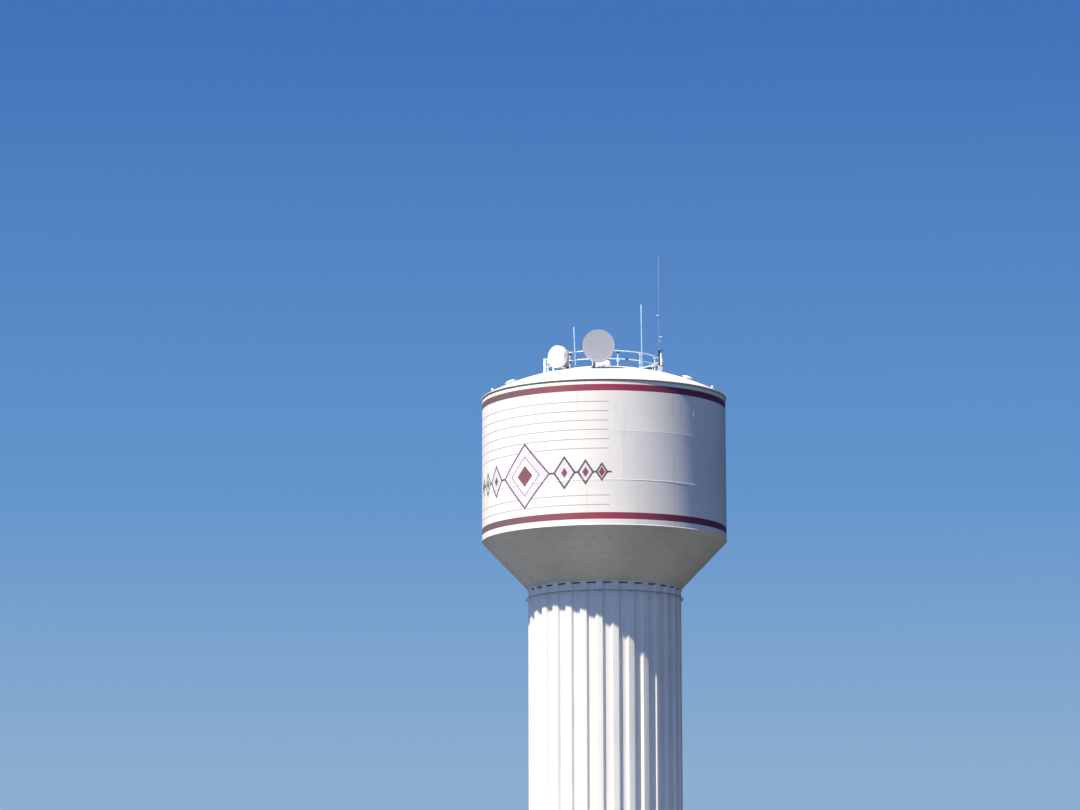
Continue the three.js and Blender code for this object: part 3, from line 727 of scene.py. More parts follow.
# %% The section of a panel
CREST, TROUGH = 2.375, 2.2875
CREST_HALF, TROUGH_HALF = 0.1025, 0.0925
BEND_RADIUS, BEND_STEPS = 0.022, 4
FLUTES_PER_PANEL = 3
PANEL_SWEEP = FLUTES_PER_PANEL * FLUTE_PITCH
HALF_GAP = 0.00015


def across(azimuth, along, out):
    """A point at a distance along and out from the line of an azimuth."""
    turn = math.radians(azimuth)
    return Vector((along * math.cos(turn) + out * math.sin(turn), along * math.sin(turn) - out * math.cos(turn)))


def flute_corners():
    """The panel's section before its bends are rounded, from the middle of one trough to the middle of another."""
    corners = [across(-PANEL_SWEEP / 2, HALF_GAP, TROUGH)]
    for flute in range(FLUTES_PER_PANEL):
        middle = (flute - (FLUTES_PER_PANEL - 1) / 2) * FLUTE_PITCH
        corners += [across(middle - FLUTE_PITCH / 2, TROUGH_HALF, TROUGH), across(middle, -CREST_HALF, CREST)]
        corners += [across(middle, CREST_HALF, CREST), across(middle + FLUTE_PITCH / 2, -TROUGH_HALF, TROUGH)]
    corners.append(across(PANEL_SWEEP / 2, -HALF_GAP, TROUGH))
    return corners


def rounded(corners, radius, steps):
    """The same line with each inner corner turned into an arc."""
    line = [corners[0]]
    for before, corner, after in zip(corners, corners[1:], corners[2:]):
        back, ahead = (before - corner).normalized(), (after - corner).normalized()
        half = back.angle(ahead) / 2.0
        reach = radius / math.tan(half)
        centre = corner + (back + ahead).normalized() * (radius / math.sin(half))
        from_centre, to_centre = corner + back * reach - centre, corner + ahead * reach - centre
        whole = from_centre.angle(to_centre)
        for step in range(steps + 1):
            share = step / steps
            line.append(centre + (from_centre * math.sin((1 - share) * whole) + to_centre * math.sin(share * whole))
                        / math.sin(whole))
    line.append(corners[-1])
    return line


def offset(line, depth):
    """The line moved sideways by a depth, inward where the depth is over 0."""
    moved = []
    for at, point in enumerate(line):
        run = (line[min(at + 1, len(line) - 1)] - line[max(at - 1, 0)]).normalized()
        moved.append(point + Vector((-run.y, run.x)) * depth)
    return moved


panel_line = rounded(flute_corners(), BEND_RADIUS, BEND_STEPS)
print("a panel's section has", len(panel_line), "points")

# %% [markdown]
# ## The faces of a panel
#
# The section is pulled up from the base ring to the column's top, with the plate's thickness inside it. Under the top
# ring each trough is left open, which shows as a row of dark slots. The first panel has the doorway cut out of it, so
# its section gets extra points at the door's two sides. A Boolean would cut slots and doorway too, but it would upset
# the neat rows of faces.

# %% The faces of a panel
COLUMN_TOP = 17.30
WALL = 0.004
SLOT_FOOT = COLUMN_TOP - 0.038
DOORWAY_TOP = BASE_TOP + 1.1103
DOOR_EDGE = DOORWAY_HALF + 0.0003


def with_cut(line, reach):
    """The line with points added where it crosses the doorway's two sides."""
    cut = [line[0]]
    for before, after in zip(line, line[1:]):
        for side in (-reach, reach):
            if (before.x - side) * (after.x - side) < 0:
                cut.append(before.lerp(after, (side - before.x) / (after.x - before.x)))
        cut.append(after)
    return cut


def pulled_up(line, levels, doorway):
    """Points and faces of the panel's two sides and edges, with the slots and the doorway left open."""
    inside = offset(line, WALL)
    points = [(point.x, point.y, level) for level in levels for point in (*line, *inside)]
    count = len(line)
    row = 2 * count
    faces = []
    for at in range(count - 1):
        middle = (line[at] + line[at + 1]) / 2
        in_door = doorway and abs(middle.x) < DOOR_EDGE
        on_crest = middle.length > CREST - 0.03
        for low, level in enumerate(levels[:-1]):
            if in_door and level == BASE_TOP or not on_crest and level == SLOT_FOOT:
                continue
            here, there = low * row + at, (low + 1) * row + at
            faces.append([here, here + 1, there + 1, there])
            faces.append([here + count + 1, here + count, there + count, there + count + 1])
            if level == SLOT_FOOT or (not on_crest and levels[low + 1] == SLOT_FOOT):
                faces.append([there, there + 1, there + count + 1, there + count])
        if not in_door:
            faces.append([at + 1, at, at + count, at + count + 1])
    for low in range(len(levels) - 2):
        here, there = low * row, (low + 1) * row
        faces.append([here + count, here, there, there + count])
        faces.append([here + count - 1, here + row - 1, there + row - 1, there + count - 1])
    return points, faces


print("a plain panel has", len(pulled_up(panel_line, [BASE_TOP, SLOT_FOOT, COLUMN_TOP], False)[1]), "faces")

# %% [markdown]
# ## Ten fluted panels
#
# Ten panels stand side by side with a bead over each upright joint, and level weld beads cross them every two and a
# half metres. A level bead follows the flutes, so it is made from the same section, moved out a little. The panels
# differ only in their turn about the axis and in the doorway, so one function makes them all.

# %% Fluted panels
PANELS = FLUTES // FLUTES_PER_PANEL
COLUMN_COURSES = 7
BEAD_HIGH, BEAD_OUT = 0.007, 0.0022


def add_level_beads(panel, line, place):
    swell, skin = offset(line, -BEAD_OUT), offset(line, 0.001)
    count = len(line)
    for course in range(1, COLUMN_COURSES):
        level = BASE_TOP + (COLUMN_TOP - BASE_TOP) * course / COLUMN_COURSES
        profile = ((skin, level - BEAD_HIGH), (swell, level - BEAD_HIGH / 2), (swell, level + BEAD_HIGH / 2),
                   (skin, level + BEAD_HIGH))
        points = [(point.x, point.y, height) for shape, height in profile for point in shape]
        faces = [
            [step * count + at, step * count + at + 1, (step + 1) * count + at + 1, (step + 1) * count + at]
            for step in range(3) for at in range(count - 1)
        ]
        panel.add(points, faces, weld_paint, place)


def add_fluted_panel(number):
    doorway = number == 1
    panel = Piece(f"column_panel_{number:02d}")
    place = spin((number - 1) * PANEL_SWEEP, "Z")
    line = with_cut(panel_line, DOOR_EDGE) if doorway else panel_line
    levels = [BASE_TOP, DOORWAY_TOP, SLOT_FOOT, COLUMN_TOP] if doorway else [BASE_TOP, SLOT_FOOT, COLUMN_TOP]
    panel.add(*pulled_up(line, levels, doorway), white_enamel, place)
    add_level_beads(panel, line, place)
    seam, foot = line[-1], DOORWAY_TOP + 0.02 if doorway else BASE_TOP
    panel.pipe([(seam.x, seam.y, foot), (seam.x, seam.y, SLOT_FOOT)], 0.005, weld_paint, 8, place)
    return panel.make("tank_paint", f"column_wall_{number:02d}")


for number in range(1, PANELS + 1):
    fluted = add_fluted_panel(number)
print("fluted panels:", PANELS, "with", len(fluted.data.polygons), "faces each")

# %% [markdown]
# ## The column's head
#
# A flat ring closes the flutes at the top, and a thin rail runs round the head for the painters' tackle, held off
# the ridges by short lugs. A bent pipe would be too round for flat bar, so both are turned from profiles with eased
# edges. The lugs have a bolt each, so the rail doesn't seem to float. The tank's dished floor hides inside the
# column's head, so its solid only gets its paint.

# %% Top ring and painters' rail
RING_INNER, RING_OUTER, RING_TOP = 2.15, 2.40, 17.335
RAIL_INNER, RAIL_OUTER, RAIL_FOOT, RAIL_TOP, RAIL_EDGE = 2.415, 2.44, 17.01, 17.04, 0.004
RAIL_LUGS = 15

head_ring = Piece("column_head_ring")
head_ring.turned([(RING_INNER, COLUMN_TOP), (RING_OUTER - 0.004, COLUMN_TOP), (RING_OUTER, COLUMN_TOP + 0.004),
                  (RING_OUTER, RING_TOP - 0.004), (RING_OUTER - 0.004, RING_TOP), (RING_INNER, RING_TOP)],
                 white_enamel, ROUND)
head_ring.make("tank_paint", "column_top_ring")

tackle_rail = Piece("painters_tackle_rail")
tackle_rail.turned([
    (RAIL_INNER + RAIL_EDGE, RAIL_FOOT), (RAIL_OUTER - RAIL_EDGE, RAIL_FOOT), (RAIL_OUTER, RAIL_FOOT + RAIL_EDGE),
    (RAIL_OUTER, RAIL_TOP - RAIL_EDGE), (RAIL_OUTER - RAIL_EDGE, RAIL_TOP), (RAIL_INNER + RAIL_EDGE, RAIL_TOP),
    (RAIL_INNER, RAIL_TOP - RAIL_EDGE), (RAIL_INNER, RAIL_FOOT + RAIL_EDGE)], rail_grey, ROUND)
lug_middle, lug_level = (CREST + RAIL_INNER) / 2, (RAIL_FOOT + RAIL_TOP) / 2
for lug in range(RAIL_LUGS):
    azimuth = lug * 360.0 / RAIL_LUGS
    seat = on_tower(azimuth, lug_middle, lug_level)
    tackle_rail.plate(0.04, RAIL_INNER - CREST + 0.006, 0.015, rail_grey, seat)
    tackle_rail.plate(0.06, 0.006, 0.05, rail_grey, on_tower(azimuth, CREST + 0.0031, lug_level))
    tackle_rail.bolt(0.012, galvanized, seat @ shift(0, 0, 0.0076))
tackle_rail.make("tank_paint", "painters_rail")
print("painters' rail on", RAIL_LUGS, "lugs")
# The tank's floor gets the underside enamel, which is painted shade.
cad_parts["tank_floor"].data.materials[0] = underside_shade_enamel

# %% [markdown]
# ## The door at the foot
#
# A steel portal stands through the flutes with a flush steel door in it. The solid portal is right as it is, so it
# only gets its paint. The leaf is made again with a pressed border, louvres, three hinges, a lever and a lock,
# because a flat slab would look like a stand-in from near.

# %% Door leaf and its fittings
DOOR_WIDTH, DOOR_HEIGHT = 0.471, 1.048
leaf_low, leaf_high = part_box("door_leaf")
leaf_face, leaf_back = leaf_low.y, leaf_high.y
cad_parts["door_frame"].data.materials[0] = door_paint

door = Piece("door_leaf_dressed")
door_middle = (leaf_low.z + leaf_high.z) / 2
leaf_depth = leaf_back - leaf_face - 0.004
door.plate(DOOR_WIDTH, leaf_depth, DOOR_HEIGHT, door_paint, shift(0, leaf_back - leaf_depth / 2, door_middle), 0.003)
for height, level in ((0.30, 0.30), (0.34, -0.14)):
    door.plate(0.34, 0.006, height, door_paint, shift(0, leaf_face + 0.004, door_middle + level), 0.003)
for blade in range(9):
    slat = shift(0, leaf_face + 0.003, leaf_low.z + 0.10 + blade * 0.018)
    door.plate(0.26, 0.010, 0.004, door_paint, slat @ spin(38, "X"), 0.001)
for level in (0.14, 0.52, 0.92):
    hinge_at = shift(-DOOR_WIDTH / 2 + 0.002, leaf_face - 0.004, leaf_low.z + level)
    door.pipe([(0, 0, -0.03), (0, 0, 0.03)], 0.007, galvanized, 12, hinge_at)
lever_at = shift(DOOR_WIDTH / 2 - 0.035, leaf_face, leaf_low.z + 0.50)
door.plate(0.026, 0.006, 0.10, galvanized, lever_at, 0.002)
door.pipe([(0, -0.002, 0.012), (0, -0.024, 0.012), (-0.006, -0.028, 0.012), (-0.055, -0.028, 0.012)], 0.005,
          galvanized, 10, lever_at)
door.rod(0.007, 0, 0.004, dark_steel, 20, lever_at @ shift(0, -0.003, -0.028) @ spin(90, "X"))
door.make("door_paint", "door_leaf")
print("door leaf:", round(DOOR_WIDTH, 3), "by", round(DOOR_HEIGHT, 3), "m")

# %% [markdown]
# ## What is painted on the tank
#
# Two crimson bands run round the tank, and thin grey lines run round its left half. Over the upper band there is a
# strip of warmer, pinker white, which is painted warm light in the eave's shade, and right under the roof's edge a
# dark brown strip, which is painted shade for the eave's shadow line. Between the bands runs an ornament of lozenges
# in lavender, charcoal and crimson. Paint could be a noise pattern, but then its edges would be soft and a pixel
# wide. Here every painted shape is cut into the plate's own mesh: a shape is a lower and an upper edge over a range
# of azimuths, and later shapes lie on earlier ones.

# %% The painted shapes
TANK = 3.81
CONE_TOP, LOWER_TOP, MIDDLE_TOP, SHELL_TOP = 18.825, 20.22, 21.725, 23.315
BANDS = ((19.017, 19.2205), (22.965, 23.167))
# The foot of the dark brown strip of painted shade under the roof's edge.
EAVE_SHADOW_LINE_FOOT = 23.265
LINE_TOP, LINE_PITCH, LINE_COUNT, LINE_HALF = 22.627, 0.2884, 12, 0.0125
LINES_LEFT, LINES_RIGHT = -93.5, 6.5
REPEATS = (0.0, 180.0)
ALL_ROUND = (-1000.0, 1000.0)
FRIEZE_LEVEL, FRIEZE_MIDDLE, FRIEZE_CLEAR = 20.46, -35.5, 0.62
STEM_REACH, STEM_HALF = 43.0, 0.028
SIDE_LOZENGES = ((21.0, 5.5, 0.52), (31.0, 4.0, 0.40), (38.5, 3.0, 0.30))  # aside, half width, half height
MIDDLE_LOZENGES = (
    (14.0, 1.02, charcoal_paint), (13.0, 0.945, lavender_paint), (8.5, 0.62, violet_paint),
    (8.0, 0.58, white_enamel), (4.5, 0.33, crimson_paint),
)


def level_shape(low, high, start, end, finish):
    return {"low": lambda azimuth: low, "high": lambda azimuth: high, "start": start, "end": end, "finish": finish}


def lozenge(azimuth, level, half_wide, half_high, finish):
    def reach(at):
        return half_high * max(0.0, 1.0 - abs(at - azimuth) / half_wide)
    return {
        "low": lambda at: level - reach(at), "high": lambda at: level + reach(at),
        "start": azimuth - half_wide, "end": azimuth + half_wide, "finish": finish,
    }


painted = [level_shape(low, high, *ALL_ROUND, crimson_paint) for low, high in BANDS]
# The pinker white strip over the upper band is painted warm light in the eave's shade.
painted.append(level_shape(BANDS[1][1], EAVE_SHADOW_LINE_FOOT, *ALL_ROUND, eave_warm_light_white))
# The dark brown strip under the roof's edge is painted shade for the eave's shadow line.
painted.append(level_shape(EAVE_SHADOW_LINE_FOOT, SHELL_TOP, *ALL_ROUND, eave_shadow_line))
for turn in REPEATS:
    for line in range(LINE_COUNT):
        level = LINE_TOP - line * LINE_PITCH
        if abs(level - FRIEZE_LEVEL) > FRIEZE_CLEAR:
            painted.append(level_shape(
                level - LINE_HALF, level + LINE_HALF, turn + LINES_LEFT, turn + LINES_RIGHT, line_paint))
    middle = turn + FRIEZE_MIDDLE
    painted.append(level_shape(
        FRIEZE_LEVEL - STEM_HALF, FRIEZE_LEVEL + STEM_HALF, middle - STEM_REACH, middle + STEM_REACH, charcoal_paint))
    for aside, half_wide, half_high in SIDE_LOZENGES:
        inner_wide = half_wide - 1.0
        for at in (middle - aside, middle + aside):
            painted.append(lozenge(at, FRIEZE_LEVEL, half_wide, half_high, charcoal_paint))
            painted.append(lozenge(at, FRIEZE_LEVEL, inner_wide, half_high * inner_wide / half_wide, lavender_paint))
            painted.append(lozenge(at, FRIEZE_LEVEL, 1.5, 0.16, crimson_paint))
    for half_wide, half_high, finish in MIDDLE_LOZENGES:
        painted.append(lozenge(middle, FRIEZE_LEVEL, half_wide, half_high, finish))
print("painted shapes:", len(painted))

# %% [markdown]
# ## Welds in the shell
#
# Three courses of plates make the tank's wall, and they are joined by butt welds. A ground and painted weld is a low
# rounded ridge that only shows in a glancing light, but the sun picks it out near the edge of the shade. A bump in
# the material would give no true highlight, so the ridges are in the mesh: one function says how far the wall stands
# out at any place, and another gives the direction that it faces there.

# %% The wall's relief
SHELL_PLATES = 4
PLATE_SWEEP = 360.0 / SHELL_PLATES
COURSES = (
    ("shell_lower", -27.5, CONE_TOP, LOWER_TOP),
    ("shell_middle", 12.5, LOWER_TOP, MIDDLE_TOP),
    ("shell_upper", 50.3, MIDDLE_TOP, SHELL_TOP),
)
LEVEL_WELDS = ((LOWER_TOP, 0.022, 0.0062), (MIDDLE_TOP, 0.016, 0.0018))
UPRIGHT_HALF, UPRIGHT_OUT = 0.013, 0.0012
MENDED_FROM, MENDED_TO, MENDED_SEAM, MENDED_OUT = 22.34, 22.60, 50.3, 0.008
STIFFENED = {"shell_middle": (24.1,)}
RIDGE_STOPS = (-1.0, -0.7, -0.4, 0.0, 0.4, 0.7, 1.0)
SLOPE_STEP = 0.001


def ridge(distance, half, out):
    """The height of a rounded ridge at a distance from its middle line."""
    share = min(abs(distance) / half, 1.0)
    return out * (1.0 - share * share) ** 2


def relief(azimuth, level, uprights):
    heights = [ridge(level - weld, half, out) for weld, half, out in LEVEL_WELDS]
    for weld in uprights:
        mended = round(weld - MENDED_SEAM) % 360 == 0 and MENDED_FROM < level < MENDED_TO
        out = MENDED_OUT if mended else UPRIGHT_OUT
        heights.append(ridge(math.radians(azimuth - weld) * TANK, UPRIGHT_HALF, out))
    return max(heights)


def facing(azimuth, level, uprights):
    """The wall's normal, from how the relief changes a millimetre to each side."""
    turn = math.degrees(SLOPE_STEP / TANK)
    aside = relief(azimuth + turn, level, uprights) - relief(azimuth - turn, level, uprights)
    upward = relief(azimuth, level + SLOPE_STEP, uprights) - relief(azimuth, level - SLOPE_STEP, uprights)
    lean = outward(azimuth + 90.0) * aside + Vector((0.0, 0.0, upward))
    return (outward(azimuth) - lean / (2.0 * SLOPE_STEP)).normalized()


print("level welds:", len(LEVEL_WELDS), "upright welds:", SHELL_PLATES * len(COURSES))

# %% [markdown]
# ## Cutting the wall into faces
#
# A plate of the wall is a strip of narrow upright slices, half a degree wide. Inside a slice the painted edges are
# straight, so each slice is cut where they cross it, and again at the levels of the weld ridges. A knife projection
# or a Boolean could cut the shapes too, but both leave long slivers that shade badly.

# %% Cuts in a slice
SLIVER = 0.000001


def cuts_in_slice(left, right, bottom, top, plain):
    """[(low at left, low at right, high at left, high at right, finish)] up one slice of the wall."""
    middle = (left + right) / 2
    near = [shape for shape in painted
            if any(shape["start"] + full < middle < shape["end"] + full for full in (-360.0, 0.0, 360.0))]

    def turned_to(shape, azimuth):
        centre = (shape["start"] + shape["end"]) / 2
        return azimuth + round((centre - middle) / 360.0) * 360.0 if shape["end"] < 900.0 else azimuth

    edges = [((bottom,) * 2, bottom), ((top,) * 2, top)]
    for shape in near:
        for side in ("low", "high"):
            pair = tuple(min(max(shape[side](turned_to(shape, at)), bottom), top) for at in (left, right))
            edges.append((pair, shape[side](turned_to(shape, middle))))
    edges = sorted((edge for edge in edges if bottom <= edge[1] <= top), key=lambda edge: edge[1])
    cells = []
    for (low, low_middle), (high, high_middle) in zip(edges, edges[1:]):
        if high_middle - low_middle < SLIVER:
            continue
        at = (low_middle + high_middle) / 2
        finish = plain
        for shape in near:
            if shape["low"](turned_to(shape, middle)) < at < shape["high"](turned_to(shape, middle)):
                finish = shape["finish"]
        cells.append((*low, *high, finish))
    return cells


def part_between(corners, low, high):
    """The part of a flat (azimuth, level) outline that lies between two levels."""
    for level, sign in ((low, 1.0), (high, -1.0)):
        kept = []
        for here, there in zip(corners, corners[1:] + corners[:1]):
            before, after = sign * (here[1] - level), sign * (there[1] - level)
            if before >= 0.0:
                kept.append(here)
            if before * after < 0.0:
                kept.append((here[0] + (there[0] - here[0]) * before / (before - after), level))
        corners = kept
    return corners


def without_doubles(corners):
    return [here for here, there in zip(corners, corners[1:] + corners[:1])
            if abs(here[0] - there[0]) + abs(here[1] - there[1]) > SLIVER]


example = cuts_in_slice(20.0, 20.5, 18.9, 19.5, white_enamel)
print("a slice of wall that the lower band crosses is cut into", len(example), "cells")

# %% [markdown]
# ## Slices and normals
#
# The slices are narrower beside the upright welds, so that the ridges there come out round. Once a plate is made, its
# normals are set from the relief, so the light glides over the wall as if it were truly round, however it is cut.
# Smooth shading alone would show every painted edge as a faint crease.

# %% Slices and normals
SLICE = 0.5
PLATE_THICK = 0.006
FIT_DEGREES = math.degrees(HALF_GAP / TANK)


def slice_edges(first, uprights):
    """Azimuths half a degree apart, and closer together over each upright weld."""
    last = first + PLATE_SWEEP
    fine = [weld + math.degrees(UPRIGHT_HALF / TANK) * stop for weld in uprights for stop in RIDGE_STOPS]
    fine = [azimuth for azimuth in fine if first < azimuth < last] + [first + FIT_DEGREES, last - FIT_DEGREES]
    coarse = [first + SLICE * at for at in range(1, round(PLATE_SWEEP / SLICE))]
    return sorted(fine + [azimuth for azimuth in coarse if all(abs(azimuth - other) > SLICE / 4 for other in fine)])


def set_wall_normals(piece, first, uprights):
    """Gives the corners of the wall's faces the normals of the true wall."""
    normals = []
    for polygon in piece.data.polygons:
        flat = polygon.normal.copy()
        middle = polygon.center
        on_wall = abs(flat.dot(Vector((*middle.xy, 0.0)).normalized())) > 0.8
        for loop in polygon.loop_indices:
            point = piece.data.vertices[piece.data.loops[loop].vertex_index].co
            azimuth = math.degrees(math.atan2(point.x, -point.y))
            azimuth += round((first + PLATE_SWEEP / 2 - azimuth) / 360.0) * 360.0
            if not on_wall:
                normals.append(flat)
            elif middle.xy.length < TANK - PLATE_THICK / 2:
                normals.append(-outward(azimuth))
            else:
                normals.append(facing(azimuth, point.z, uprights))
    piece.data.normals_split_custom_set(normals)


print("a plate has", len(slice_edges(0.0, (0.0, PLATE_SWEEP))) - 1, "slices")

# %% [markdown]
# ## The tank's shell
#
# Each of the three courses has four plates, and its seams stand at other azimuths than those of the next course, as
# in brickwork. After the faces of its wall, a plate gets its rims and its two ends, and doubled points are welded
# into one. One plate of the middle course looks a little cooler than the rest, so it has an enamel of its own, and an
# upright bead inside it.

# %% The tank's shell


def add_shell_plate(name, node, first, bottom, top, plain, stiffened=()):
    plate = Piece(name)
    uprights = (first, first + PLATE_SWEEP, *stiffened)
    edges = slice_edges(first, uprights)
    stops = [weld + half * stop for weld, half, unused in LEVEL_WELDS for stop in RIDGE_STOPS]
    stops += [end + nudge for end in (MENDED_FROM, MENDED_TO) for nudge in (-0.002, 0.002)]
    stops = [bottom, *sorted(level for level in stops if bottom < level < top), top]

    def skin(azimuth, level):
        ray = outward(azimuth) * (TANK + relief(azimuth, level, uprights))
        return (ray.x, ray.y, level)

    def lining(azimuth, level):
        ray = outward(azimuth) * (TANK - PLATE_THICK)
        return (ray.x, ray.y, level)

    for left, right in zip(edges, edges[1:]):
        for low_left, low_right, high_left, high_right, finish in cuts_in_slice(left, right, bottom, top, plain):
            outline = [(left, low_left), (right, low_right), (right, high_right), (left, high_left)]
            for low, high in zip(stops, stops[1:]):
                corners = without_doubles(part_between(outline, low, high))
                if len(corners) > 2:
                    plate.add([skin(*corner) for corner in corners], [list(range(len(corners)))], finish)
        rims = [place(azimuth, level) for place in (lining, skin) for azimuth, level in (
            (right, bottom), (left, bottom), (left, top), (right, top))]
        plate.add(rims, [[0, 1, 2, 3], [0, 4, 5, 1], [2, 6, 7, 3]], plain)
    for azimuth, order in ((edges[0], 1), (edges[-1], -1)):
        end = [skin(azimuth, level) for level in stops] + [lining(azimuth, top), lining(azimuth, bottom)]
        plate.add(end[::order], [list(range(len(end)))], plain)
    piece = plate.make("tank_paint", node, welded=True)
    set_wall_normals(piece, first, uprights)
    return piece


for course, first_seam, bottom, top in COURSES:
    for number in range(SHELL_PLATES):
        near = number == 0
        shell_plate = add_shell_plate(
            f"{course}_plate_{number + 1}", f"{course}_{number + 1}", first_seam + number * PLATE_SWEEP, bottom, top,
            cool_enamel if course == "shell_middle" and near else white_enamel,
            STIFFENED.get(course, ()) if near else ())
    print(course, "last plate:", len(shell_plate.data.polygons), "faces")

# %% [markdown]
# ## The cone under the tank
#
# Four rolled plates make the cone that carries the tank's load into the column. A cone primitive has no thickness and
# no joints, so each plate is a profile turned through its share of the circle. The knuckle where the cone meets the
# wall is rounded, and its bead catches the sun as a bright thread along the tank's lower edge. The cone's own seams
# get beads too.

# %% Cone plates
CONE_FOOT, CONE_FOOT_LEVEL, CONE_THICK = 2.385, 17.335, 0.010
CONE_MIDDLE, CONE_MIDDLE_LEVEL = (CONE_FOOT + TANK) / 2, (CONE_FOOT_LEVEL + CONE_TOP) / 2
CONE_SEAM = 27.5
CONE_SIDES = 90
GIRTH_HALF, GIRTH_OUT = 0.008, 0.003
KNUCKLE_OUT, KNUCKLE_HIGH = 0.010, 0.034
BEAD_SHAPE = ((-1.0, -0.4), (-0.6, 0.7), (0.0, 1.0), (0.6, 0.7), (1.0, -0.4))

for number in range(SHELL_PLATES):
    cone = Piece(f"cone_skin_{number + 1}")
    # The cone plates get the underside enamel, which is painted shade for the tank's underside.
    cone.turned([
        (CONE_FOOT, CONE_FOOT_LEVEL), (CONE_MIDDLE, CONE_MIDDLE_LEVEL), (TANK, CONE_TOP),
        (TANK - CONE_THICK, CONE_TOP), (CONE_FOOT - CONE_THICK, CONE_FOOT_LEVEL)], underside_shade_enamel, CONE_SIDES,
        start=CONE_SEAM + number * PLATE_SWEEP + FIT_DEGREES, sweep=PLATE_SWEEP - 2 * FIT_DEGREES)
    cone.make("tank_paint", f"cone_plate_{number + 1}")

# The cone's beads also get the underside enamel, which is painted shade.
cone_beads = Piece("cone_weld_beads")
for number in range(2 * SHELL_PLATES):
    azimuth = CONE_SEAM + number * PLATE_SWEEP / 2
    foot = point_at(azimuth, CONE_FOOT + 0.004, CONE_FOOT_LEVEL + 0.004)
    head = point_at(azimuth, TANK - 0.004, CONE_TOP - 0.004)
    cone_beads.pipe([foot, head], 0.0045, underside_shade_enamel, 6)
girth = CONE_MIDDLE + 0.001
girth_line = [(girth + GIRTH_OUT * lift, CONE_MIDDLE_LEVEL + GIRTH_HALF * along) for along, lift in BEAD_SHAPE]
cone_beads.turned([*girth_line, (girth - 0.002, CONE_MIDDLE_LEVEL + GIRTH_HALF),
                   (girth - 0.002, CONE_MIDDLE_LEVEL - GIRTH_HALF)], underside_shade_enamel, 360)
knuckle_line = [(TANK + out, level) for out, level in swelling(
    KNUCKLE_OUT, KNUCKLE_HIGH / 2, CONE_TOP + KNUCKLE_HIGH / 2, -90, 90, 10)]
cone_beads.turned([(TANK - 0.001, CONE_TOP), *knuckle_line, (TANK - 0.001, CONE_TOP + KNUCKLE_HIGH)],
                  white_enamel, 360)
cone_beads.make("tank_paint")
print("cone: 4 plates and", 2 * SHELL_PLATES, "sloping beads")

# %% [markdown]
# ## Roof edge and dome
#
# The roof is a shallow dome that reaches a little over the wall, so it drips clear of the paint and throws the thin
# dark line under its edge. A squashed sphere would have the wrong curve, so the dome is turned from the true arc,
# with its thickness showing at the edge. Lap seams run down it like the meridians of a globe.

# %% Dome, rim and lap seams
RIM_INNER, ROOF_RADIUS, RIM_TOP, ROOF_APEX = 3.725, 3.845, 23.335, 24.285
ROOF_THICK = 0.004
ROOF_RISE = ROOF_APEX - RIM_TOP
DOME_SPHERE = (ROOF_RADIUS ** 2 + ROOF_RISE ** 2) / (2 * ROOF_RISE)
DOME_STEPS = 28
ROOF_SEAMS, SEAM_STEPS = 16, 16
SEAM_RINGS = (0.65, 2.3)
SEAM_BEAD, SEAM_LIFT = 0.0035, 0.0005


def roof_level(radius):
    return ROOF_APEX - DOME_SPHERE + math.sqrt(DOME_SPHERE ** 2 - radius ** 2)


def on_roof(azimuth, radius):
    """A place on the dome, square to its slope."""
    tilt = Matrix.Rotation(math.asin(radius / DOME_SPHERE), 4, "X")
    return on_tower(azimuth, radius, roof_level(radius)) @ tilt


rim = Piece("roof_edge")
rim.turned([(RIM_INNER, SHELL_TOP), (ROOF_RADIUS - 0.002, SHELL_TOP), (ROOF_RADIUS, SHELL_TOP + 0.002),
            (ROOF_RADIUS, RIM_TOP), (RIM_INNER, RIM_TOP)], white_enamel, 360)
rim.make("tank_paint", "roof_rim")

dome_radii = [ROOF_RADIUS * (1 - step / DOME_STEPS) for step in range(DOME_STEPS + 1)]
dome = Piece("roof_dome")
outer_line = [(radius, roof_level(radius)) for radius in dome_radii]
outer_line[-1] = (0.0, ROOF_APEX)
under_line = [(radius, roof_level(radius) - ROOF_THICK) for radius in reversed(dome_radii[1:])]
under_line[0] = (0.0, ROOF_APEX - ROOF_THICK)
dome.turned(outer_line + under_line, white_enamel, ROUND)
dome.make("tank_paint", "roof")

seams = Piece("roof_lap_seams")
for seam in range(ROOF_SEAMS):
    azimuth = (seam + 0.5) * 360.0 / ROOF_SEAMS
    path = [point_at(azimuth, radius, roof_level(radius) + SEAM_LIFT)
            for radius in arc(SEAM_RINGS[0], ROOF_RADIUS - 0.03, SEAM_STEPS)]
    seams.pipe(path, SEAM_BEAD, weld_paint, 6)
for radius in SEAM_RINGS:
    ring_path = [point_at(azimuth, radius, roof_level(radius) + SEAM_LIFT) for azimuth in arc(0, 357, 119)]
    seams.pipe(ring_path, SEAM_BEAD, weld_paint, 6, closed=True)
seams.make("tank_paint")
print("roof rise:", round(ROOF_RISE, 3), "m, seams:", ROOF_SEAMS)

# %% [markdown]
# ## The handrail on the roof
#
# Two round rails on fourteen posts stand in a ring round the hatch. Each post has a foot plate with four bolts, and
# a bracket under each rail. Three of the brackets show dark, and the middle rail is joined with a dark sleeve between
# two posts. Rails that are bent to a circle are best made as one closed pipe. A small ball where a post meets a rail
# stands for its weld.

